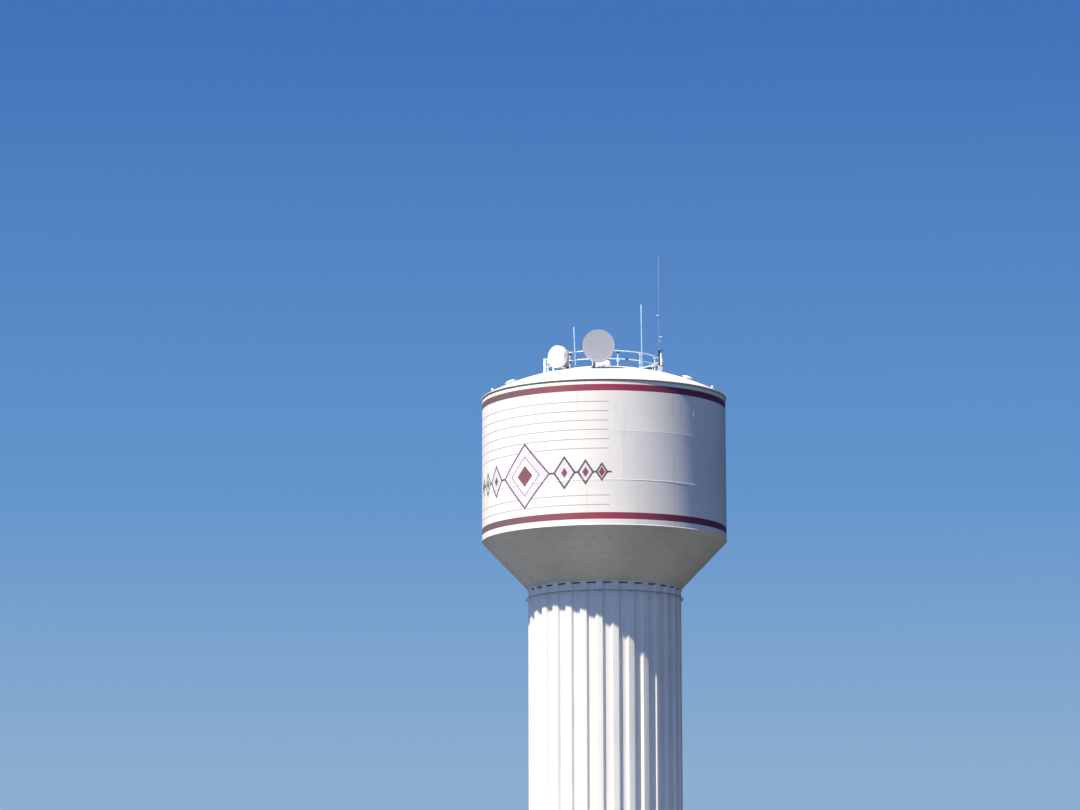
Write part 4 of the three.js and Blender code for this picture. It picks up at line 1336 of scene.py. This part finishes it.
# %% Handrail
RAIL_RADIUS, RAIL_PIPE = 1.75, 0.015
RAIL_LEVELS = (roof_level(RAIL_RADIUS) + 0.235, roof_level(RAIL_RADIUS) + 0.49)
POSTS, FIRST_POST = 14, -32.7
FOOT_SIZE, FOOT_THICK = 0.045, 0.010
BRACKET_WIDE, BRACKET_DEEP, BRACKET_HIGH, BRACKET_DROP = 0.075, 0.046, 0.05, 0.056
SLEEVE_AZIMUTH, SLEEVE_SPAN = 28.4, 3.4
DARK_BRACKETS = ((0, 0), (0, 1), (2, 1))


def foot_plate(piece, azimuth, radius, size, finish, bolts=4):
    """A round foot plate with its bolts, lying on the dome."""
    seat = on_roof(azimuth, radius)
    piece.turned([(0, -0.004), (size, -0.004), (size, FOOT_THICK - 0.002), (size - 0.002, FOOT_THICK),
                  (0, FOOT_THICK)], finish, 32, seat)
    for bolt in range(bolts):
        bolt_at = Matrix.Rotation(2 * math.pi * (bolt + 0.5) / bolts, 4, "Z") @ shift(0.74 * size, 0, FOOT_THICK)
        piece.bolt(0.13 * size + 0.003, galvanized, seat @ bolt_at)


handrail = Piece("handrail_dressed")
for level in RAIL_LEVELS:
    rail_ring = [point_at(azimuth, RAIL_RADIUS, level) for azimuth in arc(0, 358, 179)]
    handrail.pipe(rail_ring, RAIL_PIPE, rail_white, 14, closed=True)
for post in range(POSTS):
    azimuth = FIRST_POST + post * 360.0 / POSTS
    stand = on_tower(azimuth, RAIL_RADIUS)
    handrail.pipe([(0, 0, roof_level(RAIL_RADIUS)), (0, 0, RAIL_LEVELS[1])], RAIL_PIPE * 0.97, rail_white, 14, stand)
    for rail, level in enumerate(RAIL_LEVELS):
        ball = swelling(1.32 * RAIL_PIPE, 1.32 * RAIL_PIPE, level, -75, 75, 8)
        handrail.turned([(0, ball[0][1]), *ball, (0, ball[-1][1])], rail_white, 14, stand)
        bracket = on_tower(azimuth, RAIL_RADIUS, level - BRACKET_DROP)
        dark = (post, rail) in DARK_BRACKETS
        handrail.plate(BRACKET_WIDE, BRACKET_DEEP, BRACKET_HIGH, navy_plastic if dark else rail_white, bracket, 0.004)
        for aside in (-0.027, 0.027):
            bolt_at = shift(aside, -BRACKET_DEEP / 2, 0) @ spin(90, "X")
            handrail.bolt(0.009, galvanized if dark else rail_white, bracket @ bolt_at)
    foot_plate(handrail, azimuth, RAIL_RADIUS, FOOT_SIZE, white_enamel)
sleeve_span = arc(SLEEVE_AZIMUTH - SLEEVE_SPAN / 2, SLEEVE_AZIMUTH + SLEEVE_SPAN / 2, 4)
handrail.pipe([point_at(azimuth, RAIL_RADIUS, RAIL_LEVELS[0]) for azimuth in sleeve_span], RAIL_PIPE * 1.2,
              navy_plastic, 14)
handrail.make("rail_paint", "roof_handrail")
print("handrail:", POSTS, "posts, each with", len(RAIL_LEVELS), "brackets")

# %% [markdown]
# ## The access hatch
#
# At the crown there is a square access hatch with an overlapping lid, hinges, a handle and a hasp. It is small in the
# photo, so its fittings follow usual practice. Plates with worn edges make all of it, and two bent pipes the handle
# and the hinges' pins.

# %% Access hatch
HATCH_AZIMUTH, HATCH_PLACE, HATCH_ASIDE = -86.0, 0.135, 0.125
HATCH_SIZE, HATCH_CURB, HATCH_LID, HATCH_LIP = 0.22, 0.25, 0.04, 0.01

hatch = Piece("hatch_dressed")
hatch_at = on_tower(HATCH_AZIMUTH, HATCH_PLACE) @ shift(HATCH_ASIDE, 0, 0)
curb_low = roof_level(HATCH_PLACE + HATCH_ASIDE + HATCH_SIZE / 2) - 0.004
curb_top = ROOF_APEX + HATCH_CURB
curb_middle = (curb_top + curb_low) / 2
lid_size, lid_middle = HATCH_SIZE + 2 * HATCH_LIP, curb_top + HATCH_LID / 2 - HATCH_LIP
lid_edge = HATCH_SIZE / 2 + HATCH_LIP
skirt_size = HATCH_SIZE + 0.028
hatch.plate(HATCH_SIZE, HATCH_SIZE, curb_top - curb_low, white_enamel, hatch_at @ shift(0, 0, curb_middle), 0.006)
hatch.plate(lid_size, lid_size, HATCH_LID, white_enamel, hatch_at @ shift(0, 0, lid_middle), 0.006)
hatch.plate(skirt_size, skirt_size, 0.005, weld_paint, hatch_at @ shift(0, 0, curb_low + 0.012), 0.001)
for aside in (-0.065, 0.065):
    pin = [(aside - 0.022, lid_edge, lid_middle), (aside + 0.022, lid_edge, lid_middle)]
    hatch.pipe(pin, 0.006, galvanized, 12, hatch_at)
grip = [(-0.035, 0.002, -0.01), (-0.035, -0.006, 0.004), (0.035, -0.006, 0.004), (0.035, 0.002, -0.01)]
hatch.pipe([(along, out - lid_edge, lid_middle + up_lid) for along, out, up_lid in grip], 0.004, galvanized, 8,
           hatch_at)
hatch.plate(0.03, 0.006, 0.06, galvanized, hatch_at @ shift(0.075, -lid_edge - 0.001, lid_middle - 0.03), 0.002)
hatch.make("rail_paint", "access_hatch")
print("hatch:", round(lid_size, 3), "m wide")

# %% [markdown]
# ## The roof vent
#
# Beside the hatch stands a mushroom vent, which lets air in as the water falls. Its neck ends in a screened opening,
# drawn as a solid near-black core that is painted shade for the dark inside, and a cap overhangs that to keep the
# rain out. Six struts carry the cap. Neck and cap are turned, and the dome of the cap is a round swelling, so that it
# catches the light as a soft spot.

# %% Roof vent
VENT_AZIMUTH, VENT_PLACE, VENT_ASIDE = 94.0, 0.095, 0.125
VENT_NECK, VENT_HIGH, VENT_CAP, VENT_SKIRT, VENT_DOME = 0.09, 0.15, 0.14, 0.07, 0.12

vent = Piece("vent_dressed")
vent_at = on_tower(VENT_AZIMUTH, VENT_PLACE, roof_level(VENT_PLACE)) @ shift(VENT_ASIDE, 0, 0)
neck_top, skirt_top = VENT_HIGH - 0.03, VENT_HIGH + VENT_SKIRT
vent.turned([(0, -0.01), (VENT_NECK, -0.01), (VENT_NECK, 0.05), (VENT_NECK + 0.012, 0.052),
             (VENT_NECK + 0.012, 0.060), (VENT_NECK, 0.062), (VENT_NECK, neck_top), (0, neck_top)],
            white_enamel, 48, vent_at)
# A solid near-black core: painted shade for the dark inside of the screened opening.
vent.rod(VENT_NECK - 0.006, neck_top, VENT_HIGH + 0.04, opening_shade_and_gasket, 48, vent_at)
vent.turned([(0, VENT_HIGH + 0.03), (VENT_CAP - 0.004, VENT_HIGH + 0.03), (VENT_CAP - 0.004, VENT_HIGH),
             (VENT_CAP, VENT_HIGH), *swelling(VENT_CAP, VENT_DOME, skirt_top, 0, 90, 10)], white_enamel, 48, vent_at)
for strut in range(6):
    foot = point_at(strut * 60.0, VENT_NECK + 0.002, 0.06)
    head = point_at(strut * 60.0, VENT_CAP - 0.008, VENT_HIGH + 0.01)
    vent.pipe([foot, head], 0.004, galvanized, 8, vent_at)
vent.make("rail_paint", "roof_vent")
print("vent:", round(skirt_top + VENT_DOME, 3), "m high")

# %% [markdown]
# ## Manways near the roof's edge
#
# Two low round manways stand square to the roof's slope. Each has a ring of bolts round a dished cover, with a
# lifting handle on it. The flange is two rings with a fine line between them. The line could be painted on, but then
# it would have no depth in a glancing light, so it is cut into the turned profile.

# %% Manways
MANWAY_NECK, MANWAY_FLANGE, MANWAY_FOOT, MANWAY_TOP, MANWAY_DISH = 0.15, 0.18, 0.04, 0.06, 0.035
MANWAY_LIP = 0.002
MANWAY_BOLTS, MANWAY_BOLT_RING = 20, 0.162


def add_manway(name, node, azimuth, radius):
    manway = Piece(name)
    seat = on_roof(azimuth, radius)
    split = (MANWAY_FOOT + MANWAY_TOP) / 2
    manway.turned([
        (0, -0.012), (MANWAY_NECK, -0.012), (MANWAY_NECK, MANWAY_FOOT), (MANWAY_FLANGE, MANWAY_FOOT),
        (MANWAY_FLANGE, split - 0.001), (MANWAY_FLANGE - MANWAY_LIP, split), (MANWAY_FLANGE, split + 0.001),
        (MANWAY_FLANGE, MANWAY_TOP - MANWAY_LIP), (MANWAY_FLANGE - MANWAY_LIP, MANWAY_TOP), (0, MANWAY_TOP)],
        white_enamel, 64, seat)
    manway.turned([(MANWAY_NECK, 0.0), (MANWAY_NECK + 0.016, 0.001), (MANWAY_NECK + 0.012, 0.008),
                   (MANWAY_NECK, 0.012)], weld_paint, 64, seat)
    dished = swelling(MANWAY_NECK - 0.012, MANWAY_DISH, MANWAY_TOP, 0, 90, 10)
    manway.turned([(0, MANWAY_TOP - 0.002), *dished], white_enamel, 64, seat)
    for bolt in range(MANWAY_BOLTS):
        bolt_at = Matrix.Rotation(2 * math.pi * bolt / MANWAY_BOLTS, 4, "Z") @ shift(MANWAY_BOLT_RING, 0, MANWAY_TOP)
        manway.bolt(0.010, galvanized, seat @ bolt_at)
    crown = MANWAY_TOP + MANWAY_DISH
    manway.pipe([(-0.055, 0, crown - 0.012), (-0.048, 0, crown - 0.003), (0.048, 0, crown - 0.003),
                 (0.055, 0, crown - 0.012)], 0.003, galvanized, 8, seat)
    manway.make("rail_paint", node)


add_manway("manway_left_dressed", "roof_manway_left", -63.0, 3.13)
add_manway("manway_right_dressed", "roof_manway_right", 66.0, 2.945)
print("two manways with", MANWAY_BOLTS, "bolts each")

# %% [markdown]
# ## Warning lamps
#
# Outside the manways stand two small warning lamps, each a ribbed lens on a conduit with a wire guard round it. The
# lens's ribs could be a bump, but so small a lamp is read by its outline, so they are in its turned profile, every
# other point a little farther out. The guard's three loops are half sunk into the ribs, so the lamp keeps the outline
# of its solid.

# %% Warning lamps
LAMP_FOOT, LAMP_BODY, LAMP_TOP = 0.025, 0.045, 0.10
LAMP_STEM = 0.014


def add_lamp(name, node, azimuth, radius):
    lamp = Piece(name)
    seat = on_tower(azimuth, radius, roof_level(radius))
    centre = LAMP_TOP - LAMP_BODY
    cup = centre - 0.040
    conduit = [(0, -0.01), (LAMP_FOOT, -0.01), (LAMP_FOOT, 0.008), (LAMP_STEM, 0.012), (LAMP_STEM, cup), (0, cup)]
    holder = [(0, cup - 0.002), (0.030, cup - 0.002), (0.036, cup + 0.010), (0, cup + 0.010)]
    lamp.turned(conduit, galvanized, 24, seat)
    lamp.turned(holder, galvanized, 24, seat)
    lens = []
    for step, tilt in enumerate(arc(-45, 90, 18)):
        swell = LAMP_BODY * (0.97 if step % 2 else 0.925)
        lens.append((swell * math.cos(math.radians(tilt)), centre + swell * math.sin(math.radians(tilt))))
    lens[-1] = (0.0, centre + LAMP_BODY * 0.93)
    lamp.turned([(0, lens[0][1]), *lens], clear_lens, 32, seat)
    guard = 0.965 * LAMP_BODY
    loop = [(along, 0.0, level) for along, level in swelling(guard, guard, centre, -40, 220, 20)]
    for wire in range(3):
        lamp.pipe(loop, 0.0014, galvanized, 6, seat @ spin(wire * 60, "Z"))
    lamp.make("lamp_lens", node)


add_lamp("lamp_left_dressed", "obstruction_light_left", -72.0, 3.575)
add_lamp("lamp_right_dressed", "obstruction_light_right", 78.0, 3.515)
print("two lamps,", LAMP_TOP, "m high")

# %% [markdown]
# ## Drum antennas
#
# A drum antenna is a shallow bowl with a deep round shroud in front, closed by a flat cover. The larger one is seen
# square on, so its cover looks like a plain grey disc with a lighter rim. The smaller one is white. A half sphere
# would make the bowl too deep at its rim, so it is a parabola, turned about the antenna's own axis. The cover's rim
# has a row of hooks, and ribs stiffen the back.

# %% The drums
DISH_PIPE, DISH_FOOT, DISH_CLAMP = 0.0285, 0.08, 0.025
DISH_BACK = DISH_PIPE + 0.06
DRUM_GAP = 0.0003


def bowl_level(drum, at):
    """The bowl's height over its own lowest point, at a distance from the drum's axis."""
    return drum["bowl"] * (at / drum["radius"]) ** 2


def aimed(drum):
    """The place on the drum's pipe that it is clamped to, turned to its aim."""
    turn = spin(drum["aim"] - drum["azimuth"], "Z")
    return on_tower(drum["azimuth"], drum["place"], drum["level"]) @ turn


def add_drum(name, node, sizes, cover, edge_finish, hooks):
    drum = Piece(name)
    radius, bowl, shroud, hub = (sizes[size] for size in ("radius", "bowl", "shroud", "hub"))
    place = aimed(sizes) @ shift(sizes["side"], -DISH_BACK - DRUM_GAP, 0)
    place = place @ spin(90, "X") @ shift(0, 0, -bowl_level(sizes, hub))
    curve = [(at, bowl_level(sizes, at)) for at in arc(hub, radius, 12)]
    depth, band = bowl + shroud, 0.07 * radius
    drum.turned([(0, curve[0][1]), *curve, (radius, depth - 0.03), (radius - 0.004, depth - 0.028),
                 (radius - 0.004, depth - 0.012), (0, depth - 0.012)], edge_finish, 96, place)
    drum.turned([(radius - 0.006, depth - 0.024), (radius, depth - 0.022), (radius, depth - 0.004),
                 (radius - 0.004, depth), (radius - band, depth - 0.001), (radius - band, depth - 0.012)],
                edge_finish, 96, place)
    drum.turned([(0, depth - 0.014), (radius - band, depth - 0.014), (radius - band, depth - 0.003),
                 (radius * 0.6, depth - 0.0015), (0, depth - 0.001)], cover, 96, place)
    for hook in range(hooks):
        hook_at = place @ spin(360.0 * hook / hooks, "Z") @ shift(0, -radius + 0.0026, depth - 0.05)
        drum.plate(0.014, 0.005, 0.045, galvanized, hook_at, 0.001)
    rib_line = [(0, -at, height - 0.001) for at, height in curve[1:-1:2]]
    for rib in range(8):
        drum.pipe(rib_line, 0.006, edge_finish, 6, place @ spin(45.0 * rib, "Z"))
    return drum.make("radome", node)


LARGE = {"azimuth": -3.5, "place": 2.295, "aim": 4.0, "level": 24.56, "side": 0.15, "post": 0.815,
         "radius": 0.4925, "shroud": 0.21, "bowl": 0.17, "hub": 0.085}
SMALL = {"azimuth": -28.0, "place": 2.0875, "aim": -38.0, "level": 24.365, "side": -0.145, "post": 0.59,
         "radius": 0.345, "shroud": 0.155, "bowl": 0.15, "hub": 0.065}
add_drum("large_drum", "large_antenna", LARGE, grey_cover, cover_rim, 16)
add_drum("small_drum", "small_antenna", SMALL, white_cover, white_cover, 12)
print("drums:", 2 * LARGE["radius"], "m and", 2 * SMALL["radius"], "m across")

# %% [markdown]
# ## Standing pipes and their ties
#
# Everything that stands beside the handrail is a pipe on a bolted foot with gussets, tied to both rails with a short
# bracket and a U-bolt. One helper makes the pipe and another its ties, so that mounts, posts and whips all share
# them. A whip has no foot of its own and takes only the ties.

# %% Standing pipes
TIE_WIDE, TIE_HIGH = 0.06, 0.03
U_BOLT_GAP = 0.0034
PIPE_CAP = 0.004


def u_bolt(piece, place, level, radius):
    """A bent rod round a pipe at the place, with its nuts towards the handrail."""
    bend = [(along, -out, level) for along, out in swelling(radius, radius, 0.0, 0, 180, 12)]
    legs = radius + 0.012
    piece.pipe([(radius, legs, level), *bend, (-radius, legs, level)], 0.0032, galvanized, 8, place)


def rail_ties(piece, azimuth, radius, pipe_radius, finish):
    start = RAIL_RADIUS + RAIL_PIPE + 0.0004
    end = radius - pipe_radius * 0.6
    for level in RAIL_LEVELS:
        seat = on_tower(azimuth, (start + end) / 2, level)
        piece.plate(TIE_WIDE, max(end - start, 0.006), TIE_HIGH, finish, seat, 0.003)
        u_bolt(piece, on_tower(azimuth, radius), level, pipe_radius + U_BOLT_GAP)


def standing_pipe(piece, azimuth, radius, pipe_radius, high, foot, finish):
    base = roof_level(radius)
    top = base + high
    piece.turned([(0, base - 0.002), (pipe_radius, base - 0.002), (pipe_radius, top - PIPE_CAP),
                  (pipe_radius - PIPE_CAP, top), (0, top)], finish, 32, on_tower(azimuth, radius))
    foot_plate(piece, azimuth, radius, foot, finish, bolts=6)
    reach = foot * 0.8
    for gusset in range(4):
        seat = on_tower(azimuth, radius, base + 0.028) @ spin(45 + 90 * gusset, "Z")
        piece.plate(0.005, reach - pipe_radius, 0.04, finish, seat @ shift(0, -(pipe_radius + reach) / 2, 0), 0.001)
    rail_ties(piece, azimuth, radius, pipe_radius, finish)


print("ties reach the rails at", [round(level, 3) for level in RAIL_LEVELS], "m")

# %% [markdown]
# ## The drums' mounts
#
# Each drum hangs on a galvanized pipe: a broad plate behind its hub, an arm, and three U-bolts round the pipe. The
# small drum's pipe also carries a radio box, painted grey as painted shade for the shaded side of the drum above it,
# with a dark gasket line, cooling fins, two latches and three cable glands. They are all small plates and rods at
# places measured from the pipe, so they follow if the aim is changed.

# %% Drum mounts and the radio box
RADIO_WIDE, RADIO_DEEP, RADIO_HIGH, RADIO_FOOT, RADIO_ASIDE = 0.13, 0.10, 0.19, 0.045, -0.03
RADIO_GASKET = 0.012


def add_radio_box(piece, azimuth, radius):
    middle = on_tower(azimuth, radius, roof_level(radius) + RADIO_FOOT + RADIO_HIGH / 2) @ shift(RADIO_ASIDE, 0, 0)
    face = -RADIO_DEEP / 2
    # The box's grey is painted shade for the drum's shaded side.
    piece.plate(RADIO_WIDE, RADIO_DEEP, RADIO_HIGH, box_paint, middle, 0.006)
    # A near-black plate in the groove under the lid makes the dark gasket line.
    piece.plate(RADIO_WIDE - 0.006, 0.004, RADIO_HIGH - 0.006, opening_shade_and_gasket, middle @ shift(0, face - 0.001, 0), 0.001)
    piece.plate(RADIO_WIDE, RADIO_GASKET, RADIO_HIGH, box_paint,
                middle @ shift(0, face - 0.002 - RADIO_GASKET / 2, 0), 0.004)
    for fin in range(7):
        fin_at = middle @ shift(-0.048 + fin * 0.016, RADIO_DEEP / 2 + 0.006, 0)
        piece.plate(0.004, 0.014, RADIO_HIGH - 0.03, box_paint, fin_at, 0.001)
    for level in (-0.05, 0.05):
        piece.plate(0.006, 0.022, 0.024, galvanized, middle @ shift(RADIO_WIDE / 2 + 0.002, face, level), 0.002)
    for aside in (-0.035, 0.0, 0.035):
        piece.rod(0.009, -0.012, 0.002, galvanized, 16, middle @ shift(aside, 0, -RADIO_HIGH / 2))


def add_dish_mount(name, node, dish, radio=False):
    mount = Piece(name)
    azimuth, place, hub, side = dish["azimuth"], dish["place"], dish["hub"], dish["side"]
    standing_pipe(mount, azimuth, place, DISH_PIPE, dish["post"], DISH_FOOT, galvanized)
    aim = aimed(dish)
    width, arm = abs(side) + 2 * hub, DISH_BACK - DISH_CLAMP
    mount.plate(width, DISH_CLAMP, 2 * hub, galvanized, aim @ shift(side / 2, -DISH_BACK + DISH_CLAMP / 2, 0), 0.003)
    mount.plate(0.045, arm, 1.6 * hub, galvanized, aim @ shift(0, -arm / 2, 0), 0.003)
    for level in (-0.045, 0.0, 0.045):
        u_bolt(mount, aim @ Matrix.Rotation(math.pi, 4, "Z"), level, DISH_PIPE + U_BOLT_GAP)
    for across_plate in (-0.42, 0.42):
        for up_plate in (-0.8, 0.8):
            bolt_at = shift(side / 2 + across_plate * width, -DISH_BACK + DISH_CLAMP, up_plate * hub)
            mount.bolt(0.011, galvanized, aim @ bolt_at @ spin(-90, "X"))
    if radio:
        add_radio_box(mount, azimuth, place)
    mount.make("galvanized", node)


add_dish_mount("large_drum_mount", "large_antenna_mount", LARGE)
add_dish_mount("small_drum_mount", "small_antenna_mount", SMALL, radio=True)
print("two drum mounts")

# %% [markdown]
# ## The spare pipe and the mast
#
# A bare white pipe stands at the handrail's left, and at its right the thickest pipe, with a slimmer one in its head
# and a dark brace back to the roof. Two cylinders put together would leave a sharp step, so the shoulder between the
# two is a part of a round swelling. A collar of bare steel holds the brace.

# %% The spare pipe and the mast
SPARE_AZIMUTH, SPARE_PLACE, SPARE_RADIUS, SPARE_HIGH, SPARE_FOOT = -76.3, 1.865, 0.045, 0.535, 0.065
spare = Piece("spare_pipe")
standing_pipe(spare, SPARE_AZIMUTH, SPARE_PLACE, SPARE_RADIUS, SPARE_HIGH, SPARE_FOOT, white_enamel)
spare.make("rail_paint", "spare_post")

MAST_AZIMUTH, MAST_PLACE, MAST_RADIUS, MAST_HIGH, MAST_FOOT = 108.0, 1.87, 0.065, 0.65, 0.09
MAST_SHOULDER = 0.024
TIP_RADIUS, TIP_HIGH = 0.03, 0.82
BRACE_AZIMUTH, BRACE_PLACE, BRACE_RADIUS, BRACE_RISE = 90.0, 1.0, 0.025, 0.42

mast = Piece("mast_pipe")
mast_base = roof_level(MAST_PLACE)
mast_top, tip_top = mast_base + MAST_HIGH, mast_base + TIP_HIGH
standing_pipe(mast, MAST_AZIMUTH, MAST_PLACE, MAST_RADIUS, MAST_HIGH - 0.02, MAST_FOOT, white_enamel)
shoulder_foot = mast_top - MAST_SHOULDER
mast.turned([(0, shoulder_foot), *swelling(MAST_RADIUS, MAST_SHOULDER, shoulder_foot, 0, 60, 6),
             (TIP_RADIUS, mast_top), (TIP_RADIUS, tip_top - PIPE_CAP), (TIP_RADIUS - PIPE_CAP, tip_top),
             (0, tip_top)], white_enamel, 32, on_tower(MAST_AZIMUTH, MAST_PLACE))
brace_foot = point_at(BRACE_AZIMUTH, BRACE_PLACE, roof_level(BRACE_PLACE))
brace_head = point_at(MAST_AZIMUTH, MAST_PLACE, mast_base + BRACE_RISE)
mast.pipe([brace_foot, brace_head], BRACE_RADIUS, dark_steel, 16)
foot_plate(mast, BRACE_AZIMUTH, BRACE_PLACE, FOOT_SIZE, white_enamel)
mast.turned([(MAST_RADIUS, -0.03), (MAST_RADIUS + 0.006, -0.028), (MAST_RADIUS + 0.006, 0.028), (MAST_RADIUS, 0.03)],
            galvanized, 32, on_tower(MAST_AZIMUTH, MAST_PLACE, mast_base + BRACE_RISE))
mast.make("rail_paint", "mast_post")
print("spare pipe:", SPARE_HIGH, "m high, mast:", TIP_HIGH, "m high")

# %% [markdown]
# ## Two plain whips
#
# Three whip antennas stand outside the handrail and lean a little, as they do in the photo. Each is a plastic tube
# that tapers, with joint bands of bare metal and a rounded tip. A whip is turned upright in its own frame, and one
# matrix leans that frame about the middle rail, so its ties still meet it there.

# %% Whips
WHIP_PLACE = 1.815
WHIP_PIVOT = RAIL_LEVELS[0]
WHIP_FOOT = roof_level(WHIP_PLACE) + 0.06
JOINT_SHARES, JOINT_HALF = (0.33, 0.66), 0.012


def whip_line(azimuth, lean):
    """A whip's own place: it turns about the middle rail by its lean."""
    return on_tower(azimuth, 0.0, WHIP_PIVOT) @ spin(lean, "Y") @ shift(0, -WHIP_PLACE, -WHIP_PIVOT)


def whip_tube(whip, line, radius, foot, top, plastic):
    """A tapering tube with a rounded tip and two joint bands that stand a hair proud of it."""
    def width_at(level):
        return radius * (1.0 - 0.14 * (level - foot) / (top - foot))

    whip.turned([(0, foot), (radius * 0.9, foot), (radius * 0.99, foot + 0.004), (width_at(top) * 0.98, top - 0.012),
                 (width_at(top) * 0.5, top), (0, top)], plastic, 20, line)
    for share in JOINT_SHARES:
        level = foot + (top - foot) * share
        whip.rod(width_at(level) * 1.02, level - JOINT_HALF, level + JOINT_HALF, galvanized, 20, line)


def add_whip(name, node, azimuth, lean, radius, top):
    whip = Piece(name)
    whip_tube(whip, whip_line(azimuth, lean), radius, WHIP_FOOT, top, whip_plastic)
    rail_ties(whip, azimuth, WHIP_PLACE, radius, galvanized)
    whip.make("whip_shell", node)


add_whip("left_whip_dressed", "left_whip", -24.9, -2.5, 0.019, 25.375)
add_whip("middle_whip_dressed", "middle_whip", 45.3, -0.8, 0.019, 26.10)
print("two plain whips")

# %% [markdown]
# ## The tallest whip
#
# The tallest whip is a slim rod in a dark sleeve with a white collar at its foot. It carries a dark cross arm and
# three short stubs, each on a clamp. A list holds each arm's side, level and size, so one loop makes them all.

# %% The tallest whip
TALL_AZIMUTH, TALL_LEAN, TALL_SLEEVE, TALL_SLIM, TALL_TOP = 78.0, -0.2, 0.026, 0.013, 27.80
SLEEVE_HIGH, SLEEVE_COLLAR = 0.68, 0.20
TALL_ARMS = (  # side, level, radius, reach, finish
    (1, 24.81, 0.0175, 0.105, navy_plastic), (1, 25.105, 0.0175, 0.10, stub_plastic),
    (1, 25.225, 0.0325, 0.12, stub_plastic), (-1, 25.91, 0.0325, 0.085, stub_plastic),
)
ARM_CLAMP_HALF = 0.02

tall = Piece("tall_whip_dressed")
tall_line = whip_line(TALL_AZIMUTH, TALL_LEAN)
sleeve_top, collar_top = WHIP_FOOT + SLEEVE_HIGH, WHIP_FOOT + SLEEVE_COLLAR
tall.turned([(0, WHIP_FOOT), (TALL_SLEEVE * 0.9, WHIP_FOOT), (TALL_SLEEVE * 0.99, WHIP_FOOT + 0.004),
             (TALL_SLEEVE * 0.99, collar_top), (0, collar_top)], white_enamel, 24, tall_line)
tall.turned([(0, collar_top), (TALL_SLEEVE, collar_top), (TALL_SLEEVE, sleeve_top - 0.01),
             (TALL_SLIM * 1.1, sleeve_top), (0, sleeve_top)], navy_plastic, 24, tall_line)
whip_tube(tall, tall_line, TALL_SLIM, sleeve_top - 0.02, TALL_TOP, pale_whip)
for side, level, radius, reach, finish in TALL_ARMS:
    arm_line = [(0, -side * along, level) for along in (0.0, reach - 0.006, reach)]
    tall.pipe(arm_line, [radius, radius, radius * 0.8], finish, 16, tall_line)
    tall.rod(TALL_SLIM + 0.004, level - ARM_CLAMP_HALF, level + ARM_CLAMP_HALF, galvanized, 20, tall_line)
rail_ties(tall, TALL_AZIMUTH, WHIP_PLACE, TALL_SLEEVE, galvanized)
tall.make("whip_shell", "tall_whip")
print("the tallest whip reaches", TALL_TOP, "m, with", len(TALL_ARMS), "arms")
